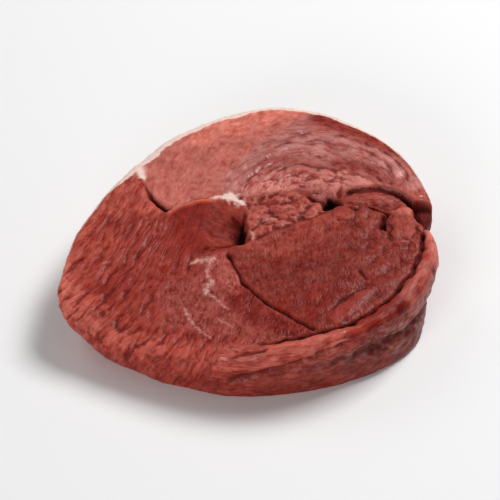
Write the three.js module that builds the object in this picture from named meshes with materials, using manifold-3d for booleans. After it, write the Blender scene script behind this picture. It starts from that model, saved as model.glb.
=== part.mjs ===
// A raw boneless lamb leg steak, cut straight across the leg: several muscles seen end on, the seams
// between them, the hollow where the bone came out and a thin strap of muscle wrapped round the front.
// Millimetres. +X runs across the steak, +Y from its front to its fat-covered back, +Z up from the board.
import * as THREE from "three";
import { mergeVertices } from "three/addons/utils/BufferGeometryUtils.js";
import Module from "manifold-3d";

const wasm = await Module();
wasm.setup();

// ---- Driving dimensions ----
const THICKNESS = 21; // board to cut face, in the middle of the steak
const SHOULDER = 4; // radius that rounds the cut face into the side
const SHOULDER_DROP = 0.6; // how much of that radius the face gives up before the side begins
const BELLY = 0.4; // how far the side swells past a plain curve from shoulder to foot
const SINK = 2; // depth of raw block below the board, sawn off flat
const FACE_CELLS = 66; // cells across the cut face, each way
const SIDE_CELLS = 4; // cells from shoulder to foot
const CURVE_STEPS = 360; // samples round an outline
const SEAM_STEPS = 40; // samples along a seam

// ---- Outlines, seen from above ----
// Where the cut face turns down into the side, from the notch beside the strap clockwise round the front.
const FACE_OUTLINE = [
  [54.5, 0.4], [57.9, -3.6], [59.3, -11], [57.4, -20.2], [53.5, -28.8], [48, -36.2], [40, -43],
  [30, -48.8], [19, -52.8], [6, -55.1], [-8, -54.5], [-21, -51.4], [-33, -47.2],
  [-43, -42.4], [-51.7, -37.4], [-57.5, -32], [-59.3, -26.3], [-58.1, -17.8], [-54.9, -4.8],
  [-50.1, 5.4], [-45.8, 13.6], [-40.8, 21.3], [-34.8, 29], [-26.5, 38.7], [-15.6, 46.6], [-2.4, 53.1],
  [11.7, 55.5], [27.2, 51.1], [37.2, 44.7], [44.7, 38], [50.5, 30.7], [54.8, 21.5], [57.6, 12.6],
  [58.1, 9.4], [56.2, 4.3],
];
// Where the steak meets the board.
const FOOT_OUTLINE = [
  [54.1, -6], [54.1, -18.6], [53.9, -27.4], [51.1, -34], [42.5, -42], [30.5, -48.4], [15.5, -52.8], [0.5, -54.4],
  [-9.5, -53.6], [-19, -50.6], [-26.5, -48.4], [-33.1, -44.6], [-42, -39.6], [-48.1, -34], [-53.3, -26],
  [-54.9, -18], [-50.5, -1], [-40.5, 16], [-26.5, 33], [-7.5, 47], [11.5, 51.4], [28.5, 46.6], [42.5, 35], [50.9, 20],
  [54.5, 6],
];

// ---- Relief of the cut face ----
// The steak thins towards its front left.
const THIN_CORNER = { x: -43.5, y: -51, reach: 24, depth: 6 };

// Broad crowns and dips: a centre, the reach along X and Y, and the rise.
const SWELLS = [
  { x: -13.5, y: 33, reachX: 16, reachY: 10, rise: 0.8 }, // pale muscle at the back
  { x: 32.5, y: 32, reachX: 14, reachY: 10, rise: 0.9 }, // ridged muscle, back right
  { x: 20.5, y: -19, reachX: 20, reachY: 15, rise: 1.2 }, // round muscle, front right
  { x: -39.5, y: -3, reachX: 12, reachY: 20, rise: 1.0 }, // long muscle, left
  { x: -5.5, y: -41, reachX: 12, reachY: 8, rise: -0.6 }, // slack front middle
  { x: 26.5, y: 14.6, reachX: 2.6, reachY: 2, rise: 1.2 }, // knob above the bone pit
];

// Soft-edged patches that lie lower than what is round them: corners anticlockwise, one softness for
// each side, and a depth.
const PATCHES = [
  // hollow left by the bone, steepest at its right-hand wall
  {
    corners: [[-18.5, -15.5], [-0.1, -7], [-1.1, 8.8], [-11.5, 11.4], [-24.5, 6]],
    softness: [4, 2.5, 4, 4, 17],
    depth: 4.8,
  },
  // small crumbly muscle in the middle
  { corners: [[1.5, -6.5], [24.5, 6], [22.5, 12], [2, 10]], softness: [2, 4, 5, 2.5], depth: 1.3 },
  // slab between the back flap and the round muscle
  {
    corners: [[29.5, 7.5], [43.5, 6.5], [51.5, 8], [46.5, 15.5], [33.5, 15.5]],
    softness: [2.5, 2.5, 2.5, 2.5, 2.5],
    depth: 1.2,
  },
];

// Seams and cracks: points along the line, half width, depth, and how far the left side of the line,
// walking along it, stands above the right side.
const SEAMS = [
  { points: [[-32.7, 18.8], [-30.2, 12.1], [-27.7, 8.8], [-24.8, 6.1]], half: 1.7, depth: 2.8, step: -1.6 },
  { points: [[-1, 9.2], [-0.9, 3.8], [-0.6, 0.5], [-0.1, -6]], half: 1.9, depth: 2.2, step: 0 },
  {
    points: [[-6.4, -12.9], [-4.3, -18.7], [-1.4, -25.4], [3.2, -31.2], [9, -37], [15.7, -42], [21, -45.8]],
    half: 1.7, depth: 1.5, step: 0.7,
  },
  { points: [[0.7, -7], [9, -2], [19, 3], [24.4, 6.3]], half: 1.7, depth: 1.0, step: -0.9 },
  { points: [[25.5, 9.4], [20.7, 12.1], [17.8, 16.3]], half: 1.7, depth: 2.0, step: 0 },
  {
    points: [[26, 9.2], [29.8, 14.6], [34.8, 16.3], [44.8, 15.9], [50.3, 11.3], [54.3, 1]],
    half: 1.8, depth: 2.6, step: 0.9,
  },
  { points: [[26, 8.5], [34, 8], [37.7, 8.8], [43.8, 6.5], [42.3, -2.9]], half: 1.7, depth: 1.2, step: 0 },
  { points: [[30, -16], [33.5, -19.6], [37.9, -24.4]], half: 1.7, depth: 0.9, step: 0 },
];

// The deep pit beside the crumbly muscle.
const PIT = { x: 25.7, y: 8.9, reach: 1.9, depth: 4.5 };

// The strap, a band of muscle round the front right: its inner edge from the notch clockwise, how far
// it stands above the face, how wide its rounded flank is, and the groove that parts it from the face.
const STRAP_EDGE = [
  [54, -1.2], [53.9, -7.9], [51.5, -17.9], [44, -31.2], [33, -41.2], [22.8, -46.6], [11, -49.6],
];
const STRAP = { rise: 1.3, flank: 3, half: 1.8, depth: 2 };

// Rows of low ridges where fibre bundles lie across the cut: half the height between crest and trough,
// crest to crest, and a soft oval that holds them. Rings run round a middle; rows cross a heading.
const RIDGES = [
  { middle: [19, 10], half: 0.35, pitch: 6.4, oval: { x: 28, y: 31, reachX: 13, reachY: 9 } },
  { heading: -0.5, half: 0.3, pitch: 6.6, oval: { x: -38, y: -24, reachX: 10, reachY: 14 } },
];

// ---- Working helpers ----
const smoothstep = (t) => {
  const s = Math.min(Math.max(t, 0), 1);
  return s * s * (3 - 2 * s);
};
const bell = (dx, dy, reachX, reachY) => Math.exp(-((dx / reachX) ** 2 + (dy / reachY) ** 2) / 2);

// A smooth curve through the points, as [x, y] pairs.
function smoothLine(points, closed, steps) {
  const curve = new THREE.CatmullRomCurve3(
    points.map(([x, y]) => new THREE.Vector3(x, y, 0)),
    closed,
    "centripetal",
  );
  return curve.getPoints(steps).map((p) => [p.x, p.y]);
}

// The distance from the steak's middle to a closed outline, as a function of the angle from +X.
function radiusOf(points) {
  const rim = smoothLine(points, true, CURVE_STEPS)
    .slice(0, -1)
    .map(([x, y]) => ({ angle: Math.atan2(y, x), radius: Math.hypot(x, y) }))
    .sort((a, b) => a.angle - b.angle);
  const first = { angle: rim[0].angle + 2 * Math.PI, radius: rim[0].radius };
  const last = { angle: rim.at(-1).angle - 2 * Math.PI, radius: rim.at(-1).radius };
  const ring = [last, ...rim, first];
  return (angle) => {
    const next = ring.findIndex((p) => p.angle >= angle);
    const [a, b] = [ring[next - 1], ring[next]];
    return a.radius + ((b.radius - a.radius) * (angle - a.angle)) / (b.angle - a.angle);
  };
}

// The nearest place on a line: its distance, which is positive on the left, and how far along it is.
function nearest(line, x, y) {
  let best = { gap: Infinity };
  for (let i = 0; i < line.length - 1; i++) {
    const [ax, ay] = line[i];
    const [ux, uy] = [line[i + 1][0] - ax, line[i + 1][1] - ay];
    const share = Math.min(Math.max(((x - ax) * ux + (y - ay) * uy) / (ux * ux + uy * uy), 0), 1);
    const gap = Math.hypot(x - ax - share * ux, y - ay - share * uy);
    if (gap < best.gap) {
      const side = ux * (y - ay) - uy * (x - ax) >= 0 ? 1 : -1;
      best = { gap, signed: side * gap, along: (i + share) / (line.length - 1) };
    }
  }
  return best;
}

const faceRadius = radiusOf(FACE_OUTLINE);
const footRadius = radiusOf(FOOT_OUTLINE);
const seams = SEAMS.map((seam) => ({ ...seam, line: smoothLine(seam.points, false, SEAM_STEPS) }));
const strapLine = smoothLine(STRAP_EDGE, false, SEAM_STEPS);

// ---- The cut face ----
// A seam's cut and step fade out over this share of its length, at both ends.
const SEAM_FADE = 0.12;
const STEP_REACH = 4; // how far from a seam its step dies away

function seamRelief(seam, x, y) {
  const { gap, signed, along } = nearest(seam.line, x, y);
  const fade = smoothstep(along / SEAM_FADE) * smoothstep((1 - along) / SEAM_FADE);
  const cut = seam.depth * Math.exp(-((gap / seam.half) ** 2));
  const step = (seam.step / 2) * Math.tanh(signed / seam.half) * Math.exp(-gap / STEP_REACH);
  return fade * (step - cut);
}

function patchRelief({ corners, softness, depth }, x, y) {
  const cover = corners.reduce((share, [ax, ay], i) => {
    const [bx, by] = corners[(i + 1) % corners.length];
    const inside = ((bx - ax) * (y - ay) - (by - ay) * (x - ax)) / Math.hypot(bx - ax, by - ay);
    return share * smoothstep(inside / softness[i] + 0.5);
  }, 1);
  return -depth * cover;
}

// The strap lies left of its inner edge, between it and the outline, as a low rounded band.
function strapRelief(x, y) {
  const { gap, signed, along } = nearest(strapLine, x, y);
  const fade = smoothstep(along / SEAM_FADE) * smoothstep((1 - along) / SEAM_FADE);
  const band = signed > 0 ? STRAP.rise * smoothstep(gap / STRAP.flank) : 0;
  return fade * (band - STRAP.depth * Math.exp(-((gap / STRAP.half) ** 2)));
}

function ridgeRelief({ middle, heading, half, pitch, oval }, x, y) {
  const across = middle
    ? Math.hypot(x - middle[0], y - middle[1])
    : x * Math.cos(heading) + y * Math.sin(heading);
  const cover = bell(x - oval.x, y - oval.y, oval.reachX, oval.reachY);
  return half * cover * Math.cos((2 * Math.PI * across) / pitch);
}

function faceHeight(x, y, fromEdge) {
  const { x: cx, y: cy, reach, depth } = THIN_CORNER;
  let z = THICKNESS - depth * bell(x - cx, y - cy, reach, reach);
  for (const s of SWELLS) z += s.rise * bell(x - s.x, y - s.y, s.reachX, s.reachY);
  for (const patch of PATCHES) z += patchRelief(patch, x, y);
  for (const seam of seams) z += seamRelief(seam, x, y);
  for (const ridges of RIDGES) z += ridgeRelief(ridges, x, y);
  z += strapRelief(x, y);
  z -= PIT.depth * bell(x - PIT.x, y - PIT.y, PIT.reach, PIT.reach);
  const into = Math.max(SHOULDER - fromEdge, 0);
  return z - SHOULDER_DROP * (SHOULDER - Math.sqrt(SHOULDER ** 2 - into ** 2));
}

// ---- The block: a box whose top becomes the cut face, its walls the side, its floor the foot ----
// A square's point as a share of the way out and an angle, so that the cells stay even on the disc.
function squareToDisc(u, v) {
  const reach = Math.max(Math.abs(u), Math.abs(v));
  if (reach === 0) return { reach, angle: 0 };
  const quarter = Math.PI / 4;
  let angle = Math.abs(u) >= Math.abs(v) ? quarter * (v / u) : 2 * quarter - quarter * (u / v);
  if (Math.abs(u) >= Math.abs(v) ? u < 0 : v < 0) angle += Math.PI;
  return { reach, angle: angle > Math.PI ? angle - 2 * Math.PI : angle };
}

function placeVertex(point) {
  const { reach, angle } = squareToDisc(point.x, point.y);
  const [cos, sin] = [Math.cos(angle), Math.sin(angle)];
  const [faceR, footR] = [faceRadius(angle), footRadius(angle)];
  const up = (point.z + 1) / 2;
  if (up === 1) {
    const r = reach * faceR;
    return point.set(r * cos, r * sin, faceHeight(r * cos, r * sin, faceR - r));
  }
  const edge = faceHeight(faceR * cos, faceR * sin, 0);
  const r = footR + (faceR - footR) * smoothstep(up) + BELLY * Math.sin(Math.PI * up);
  return point.set(reach * r * cos, reach * r * sin, -SINK + (edge + SINK) * up);
}

// Each cell of the cut face is split along the diagonal whose middle lies nearer the true face, so that
// a seam runs as a line and not as saw teeth.
function turnDiagonals(geometry, { start, count }) {
  const { position } = geometry.attributes;
  const { array } = geometry.index;
  const middle = (p, q) => (position.getZ(p) + position.getZ(q)) / 2;
  for (let i = start; i < start + count; i += 6) {
    const [a, b, d, , c] = array.subarray(i, i + 6);
    const x = (position.getX(a) + position.getX(c)) / 2;
    const y = (position.getY(a) + position.getY(c)) / 2;
    const z = faceHeight(x, y, faceRadius(Math.atan2(y, x)) - Math.hypot(x, y));
    if (Math.abs(middle(a, c) - z) < Math.abs(middle(b, d) - z)) array.set([a, b, c, a, c, d], i);
  }
}

function closedMesh(geometry) {
  geometry.deleteAttribute("normal");
  geometry.deleteAttribute("uv");
  return mergeVertices(geometry);
}

function toSolid(geometry) {
  return new wasm.Manifold(
    new wasm.Mesh({
      numProp: 3,
      vertProperties: new Float32Array(geometry.attributes.position.array),
      triVerts: new Uint32Array(geometry.index.array),
    }),
  );
}

function toGeometry(solid) {
  const { vertProperties, triVerts } = solid.getMesh();
  const geometry = new THREE.BufferGeometry();
  geometry.setAttribute("position", new THREE.BufferAttribute(vertProperties, 3));
  geometry.setIndex(new THREE.BufferAttribute(triVerts, 1));
  geometry.computeVertexNormals();
  return geometry;
}

function steakGeometry() {
  const box = new THREE.BoxGeometry(2, 2, 2, FACE_CELLS, FACE_CELLS, SIDE_CELLS);
  const top = box.groups[4];
  const block = closedMesh(box);
  const { position } = block.attributes;
  const point = new THREE.Vector3();
  for (let i = 0; i < position.count; i++) {
    placeVertex(point.fromBufferAttribute(position, i));
    position.setXYZ(i, point.x, point.y, point.z);
  }
  turnDiagonals(block, top);
  const board = closedMesh(new THREE.BoxGeometry(200, 200, 2 * THICKNESS)).translate(0, 0, -THICKNESS);
  return toGeometry(toSolid(block).subtract(toSolid(board)));
}

const leanMeat = new THREE.MeshStandardMaterial({ color: 0x9c4338, roughness: 0.45, metalness: 0 });
const steak = new THREE.Mesh(steakGeometry(), leanMeat);
steak.name = "steak";

const lambLegSteak = new THREE.Group();
lambLegSteak.add(steak);
export default lambLegSteak;
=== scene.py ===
# %% [markdown]
# # A raw lamb leg steak
# A leg steak is one slice straight across a leg. The knife shows several muscles end on, each with
# its own tone and its own direction of fibres, parted by thin seams. The bone has been pushed out and
# leaves a hollow; a rim of fat runs round the back; a thin strap of muscle wraps round the front right.
# Everything here is worked out in millimetres and turned into metres when the mesh is made.

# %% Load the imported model
import math

import bpy
import numpy as np
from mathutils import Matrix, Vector


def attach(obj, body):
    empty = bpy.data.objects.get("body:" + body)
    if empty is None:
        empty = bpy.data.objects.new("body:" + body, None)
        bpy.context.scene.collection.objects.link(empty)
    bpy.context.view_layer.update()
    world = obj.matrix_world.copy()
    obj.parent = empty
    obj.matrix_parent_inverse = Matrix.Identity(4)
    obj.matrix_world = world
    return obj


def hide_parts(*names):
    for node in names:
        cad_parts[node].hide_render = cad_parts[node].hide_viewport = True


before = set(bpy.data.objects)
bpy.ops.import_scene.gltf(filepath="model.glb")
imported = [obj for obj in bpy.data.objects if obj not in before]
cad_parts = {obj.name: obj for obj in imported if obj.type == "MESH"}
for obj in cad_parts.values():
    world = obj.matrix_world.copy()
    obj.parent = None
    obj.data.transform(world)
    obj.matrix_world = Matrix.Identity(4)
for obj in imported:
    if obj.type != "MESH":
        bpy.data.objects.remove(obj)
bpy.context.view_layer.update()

MM = 0.001

# %% [markdown]
# ## Smooth lines
# Outlines and seams are drawn by a few measured points with a smooth curve through them. A Bezier curve
# object would do, but a curve worked out as an array can be measured from, which the relief below needs.
# The centripetal Catmull-Rom curve is used because it passes through its points and never loops.

# %% Draw a smooth line through points
def smooth_line(points, closed=False, steps=12):
    """Centripetal Catmull-Rom: each stretch blends its four nearest points, and the parameter between two
    points is the square root of their distance."""
    p = np.asarray(points, float)
    if closed:
        p = np.vstack([p[-1], p, p[0], p[1]])
    else:
        p = np.vstack([2 * p[0] - p[1], p, 2 * p[-1] - p[-2]])
    p0, p1, p2, p3 = (p[i : len(p) - 3 + i, None, :] for i in range(4))
    knot = lambda a, b: np.sqrt(np.linalg.norm(b - a, axis=-1, keepdims=True))
    t1 = knot(p0, p1)
    t2 = t1 + knot(p1, p2)
    t3 = t2 + knot(p2, p3)
    t = t1 + (t2 - t1) * np.linspace(0, 1, steps, endpoint=False)[None, :, None]
    a1 = p0 + (p1 - p0) * t / t1
    a2 = p1 + (p2 - p1) * (t - t1) / (t2 - t1)
    a3 = p2 + (p3 - p2) * (t - t2) / (t3 - t2)
    b1 = a1 + (a2 - a1) * t / t2
    b2 = a2 + (a3 - a2) * (t - t1) / (t3 - t1)
    line = (b1 + (b2 - b1) * (t - t1) / (t2 - t1)).reshape(-1, 2)
    return line if closed else np.vstack([line, points[-1]])


# %% [markdown]
# ## The outline
# Two closed lines give the slice its shape: where the cut face turns down into the side, and where the
# side meets the board. Both can be seen from the middle all round, so each is kept as a distance
# from the middle for every angle, and the whole surface can be built from angles and shares of it.

# %% Outlines in millimetres
FACE_OUTLINE = [
    (54.5, 0.4), (57.9, -3.6), (59.3, -11), (57.4, -20.2), (53.5, -28.8), (48, -36.2), (40, -43),
    (30, -48.8), (19, -52.8), (6, -55.1), (-8, -54.5), (-21, -51.4), (-33, -47.2), (-43, -42.4),
    (-51.7, -37.4), (-57.5, -32), (-59.3, -26.3), (-58.1, -17.8), (-54.9, -4.8), (-50.1, 5.4),
    (-45.8, 13.6), (-40.8, 21.3), (-34.8, 29), (-26.5, 38.7), (-15.6, 46.6), (-2.4, 53.1), (11.7, 55.5),
    (27.2, 51.1), (37.2, 44.7), (44.7, 38), (50.5, 30.7), (54.8, 21.5), (57.6, 12.6), (58.1, 9.4),
    (56.2, 4.3),
]
FOOT_OUTLINE = [
    (54.1, -6), (54.1, -18.6), (53.9, -27.4), (51.1, -34), (42.5, -42), (30.5, -48.4), (15.5, -52.8),
    (0.5, -54.4), (-9.5, -53.6), (-19, -50.6), (-26.5, -48.4), (-33.1, -44.6), (-42, -39.6),
    (-48.1, -34), (-53.3, -26), (-54.9, -18), (-50.5, -1), (-40.5, 16), (-26.5, 33), (-7.5, 47),
    (11.5, 51.4), (28.5, 46.6), (42.5, 35), (50.9, 20), (54.5, 6),
]


def radius_of(outline):
    """Distance from the middle to the outline, for any array of angles."""
    rim = smooth_line(outline, closed=True, steps=24)
    angle, radius = np.arctan2(rim[:, 1], rim[:, 0]), np.hypot(rim[:, 0], rim[:, 1])
    by_angle = np.argsort(angle)
    return lambda a: np.interp(a, angle[by_angle], radius[by_angle], period=2 * np.pi)


# a round number near the slice's mean radius, for patterns that are drawn in mm round the rim
RIM_RADIUS = 52


def arc_length(angle):
    """Millimetres round the rim for an angle."""
    return angle * RIM_RADIUS


face_radius = radius_of(FACE_OUTLINE)
foot_radius = radius_of(FOOT_OUTLINE)
all_round = np.linspace(-np.pi, np.pi, 721)
print("face outline area, square mm:", round(float(0.5 * np.trapz(face_radius(all_round) ** 2, all_round))))

# %% [markdown]
# ## Noise
# Meat has no straight lines, so every measured form is bent a little and every plain stretch carries
# grain. Blender's noise textures only exist in shaders, and relief has to be real geometry, so gradient
# noise is worked out here: random slopes on a lattice, blended smoothly between.

# %% Gradient noise on arrays
LATTICE = 64


def noise(x, y, seed):
    """Gradient noise from about -1 to 1: at each lattice corner a random unit slope times the distance
    from that corner, blended with the curve 6t^5 - 15t^4 + 10t^3."""
    angle = np.random.default_rng(seed).uniform(0, 2 * np.pi, (LATTICE, LATTICE))
    gx, gy = np.cos(angle), np.sin(angle)
    ix, iy = np.floor(x).astype(int), np.floor(y).astype(int)
    fx, fy = x - ix, y - iy
    ease = lambda t: t * t * t * (t * (6 * t - 15) + 10)
    wx, wy = ease(fx), ease(fy)

    def corner(dx, dy):
        i, j = (ix + dx) % LATTICE, (iy + dy) % LATTICE
        return gx[j, i] * (fx - dx) + gy[j, i] * (fy - dy)

    low = corner(0, 0) * (1 - wx) + corner(1, 0) * wx
    high = corner(0, 1) * (1 - wx) + corner(1, 1) * wx
    return 1.5 * (low * (1 - wy) + high * wy)


def smoothstep(t):
    """0 below 0, 1 above 1, and the curve 3t^2 - 2t^3 between."""
    t = np.clip(t, 0, 1)
    return t * t * (3 - 2 * t)


def bell(x, y, place, reach):
    """A soft hill of height 1 at place, with its reach along x and along y."""
    return np.exp(-(((x - place[0]) / reach[0]) ** 2 + ((y - place[1]) / reach[1]) ** 2) / 2)


def turned(x, y, heading):
    """Distance across and along a heading in degrees."""
    c, s = np.cos(np.radians(heading)), np.sin(np.radians(heading))
    return -s * x + c * y, c * x + s * y


# %% [markdown]
# ## Bundles and layers
# Cut across, muscle shows rounded bundles packed like pebbles. Cut aslant, the bundles lie over one
# another like shingles: each rises slowly and ends in a small step. Both patterns are plain functions of
# two distances, so they can follow any muscle and run on over the rim of the slice.

# %% Patterns of bundles
def bundles(u, v, seed):
    """Rounded bundles, from -1 in the gaps to about 0: one random point in each unit cell, and the
    second nearest point's distance less the nearest's tells how far a place is from a gap."""
    draw = np.random.default_rng(seed)
    px, py = draw.uniform(0.1, 0.9, (2, LATTICE, LATTICE))
    ix, iy = np.floor(u).astype(int), np.floor(v).astype(int)
    first, second = np.full(u.shape, 9.0), np.full(u.shape, 9.0)
    for dx in (-1, 0, 1):
        for dy in (-1, 0, 1):
            i, j = (ix + dx) % LATTICE, (iy + dy) % LATTICE
            gap = np.hypot(ix + dx + px[j, i] - u, iy + dy + py[j, i] - v)
            second = np.minimum(second, np.maximum(first, gap))
            first = np.minimum(first, gap)
    return smoothstep((second - first) / 0.55) - 1 - 0.35 * first**2


def layers(across, along, pitch, run, seed):
    """Shingles, 0 to about 1: across, the phase is bent by noise; in each turn the height leaps up at
    once and then falls slowly; more noise says where a layer lifts and where it lies flat."""
    phase = across / pitch + 1.0 * noise(across / (2.5 * pitch), along / run, seed)
    phase = phase + 0.2 * noise(across / pitch, along / (0.5 * run), seed + 1)
    turn = phase - np.floor(phase)
    lift = (1 - turn) ** 1.1 * smoothstep(turn / 0.36)
    shown = 0.6 + 1.0 * noise(across / (1.6 * pitch), along / (0.9 * run), seed + 2)
    return lift * np.clip(shown, 0.0, 1.2)


# %% [markdown]
# ## Measuring from lines and patches
# A seam is a cut whose depth depends only on how far a point is from a line, and a muscle is a patch
# with soft sides. Both questions are asked for the whole surface at once.

# %% Distances
def from_line(line, x, y):
    """For every point: its distance from the line, that distance with a minus sign on the line's right,
    and how far along the line its nearest point is, from 0 to 1. One pass per stretch of line."""
    gap = np.full(x.shape, 1e9)
    side, along = np.ones(x.shape), np.zeros(x.shape)
    for i in range(len(line) - 1):
        a, u = line[i], line[i + 1] - line[i]
        share = np.clip(((x - a[0]) * u[0] + (y - a[1]) * u[1]) / (u @ u), 0, 1)
        here = np.hypot(x - a[0] - share * u[0], y - a[1] - share * u[1])
        near = here < gap
        gap = np.where(near, here, gap)
        side = np.where(near, np.sign(u[0] * (y - a[1]) - u[1] * (x - a[0]) + 1e-12), side)
        along = np.where(near, (i + share) / (len(line) - 1), along)
    return gap, side * gap, along


def inside(outline, x, y):
    """Distance in mm from a closed smooth line, positive inside: a ray to the right crosses the line an
    odd number of times from inside."""
    line = smooth_line(outline, closed=True, steps=5)
    gap, _, _ = from_line(np.vstack([line, line[:1]]), x, y)
    odd = np.zeros(x.shape, bool)
    for (ax, ay), (bx, by) in zip(line, np.roll(line, -1, axis=0)):
        if ay != by:
            odd ^= ((ay > y) != (by > y)) & (x < (bx - ax) * (y - ay) / (by - ay) + ax)
    return np.where(odd, gap, -gap)


def tapered(along, start, end):
    """Fades a seam in and out over shares of its length."""
    fade_in = smoothstep(along / start) if start else 1
    fade_out = smoothstep((1 - along) / end) if end else 1
    return fade_in * fade_out


def bent(x, y):
    """The same points pushed about by up to about half a millimetre, so that no drawn line stays exact."""
    return (
        x + 0.5 * noise(x / 4.5, y / 4.5, 11) + 0.16 * noise(x / 1.6, y / 1.6, 12),
        y + 0.5 * noise(x / 4.5, y / 4.5, 13) + 0.16 * noise(x / 1.6, y / 1.6, 14),
    )


# %% [markdown]
# ## How the fibres lie
# Each muscle has its own grain. The long muscle at the left is cut aslant, so its bundles slant up to the
# right; those at the back wrap round the bone in arcs; the round one is cut almost straight across. A
# place is therefore told by how far it is across and along the fibres, and every pattern, coarse or
# fine, is drawn in those two distances. Below the rim they are moved along by the depth, so that a crease
# goes over the edge in one line.

# %% Lie of the fibres: heading in degrees, or centre and radius of arcs; how drawn out bundles are
LIES = {
    "slanted": (66, 5.0),
    "front": (78, 2.2),
    "round": (98, 2.2),
    "arcs": ((19, 10, 26), 3.6),
    "swirl": ((30, 8, 40), 1.8),
    "hollow": (-18, 2.2),
    "crumbly": (30, 1.5),
    "tongue": (-3, 2.2),
    "rim": ((0, 0, RIM_RADIUS), 4.6),
}
# straight lies are measured from this place; there the slanted one turns by FAN degrees for each mm to
# the right, as far as FAN_REACH mm either way
LIE_PLACE, FAN, FAN_REACH = (-38, -12), 0.45, 20
# mm across and along the fibres for each mm below the rim
SINK_OF_ARCS, SINK_OF_STRAIGHT = (1, -0.6), (-0.35, -0.8)


def fibre_place(lie, x, y, depth):
    """Across and along the fibres in mm, the second one divided by how drawn out the bundles are."""
    course, drawn_out = LIES[lie]
    if isinstance(course, tuple):
        right, up = x - course[0], y - course[1]
        across, along, sink = np.hypot(right, up), course[2] * np.arctan2(up, right), SINK_OF_ARCS
    else:
        right, up = x - LIE_PLACE[0], y - LIE_PLACE[1]
        heading = course + FAN * np.clip(right, -FAN_REACH, FAN_REACH) * (lie == "slanted")
        across, along = turned(right, up, heading)
        sink = SINK_OF_STRAIGHT
    return across + sink[0] * depth, (along + sink[1] * depth) / drawn_out


# %% [markdown]
# ## Which muscle is where
# Each muscle is a closed line with a soft or a sharp edge, its tone as an ordinary screen colour, the lie
# of its fibres and how strongly each pattern shows on it. Later ones in the list lie over earlier ones,
# so at every point the shares of all of them add up to one. Some patches are no muscle of their own but
# painted shade or a painted highlight over one. A painted picture could carry the tones, but lines keep
# both colour and relief a property of the shape.

# %% Patterns that several muscles share: mm of each, and how strongly the finish shows the grain
# where layers are below 0, their steps face the other way
LONG_CUT = dict(bundles=0.14, fibres=0.12, layers=-0.14, ridges=0.4, waves=0.25)
SMOOTH_CUT = dict(bundles=0.04, fibres=0.04, waves=0.3, grain=0.4)
BAND_CUT = dict(bundles=0.14, fibres=0.08, layers=0.9, waves=0.4, grain=0.8)
ROUND_CUT = dict(bundles=0.06, fibres=0.06, waves=0.35, grain=0.95)
STRAP_CUT = dict(bundles=0.1, fibres=0.14, layers=0.3, ridges=0.25, waves=0.3)
CREST_CUT = dict(bundles=0.08, fibres=0.12, layers=0.2, ridges=0.15, waves=0.2)

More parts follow.
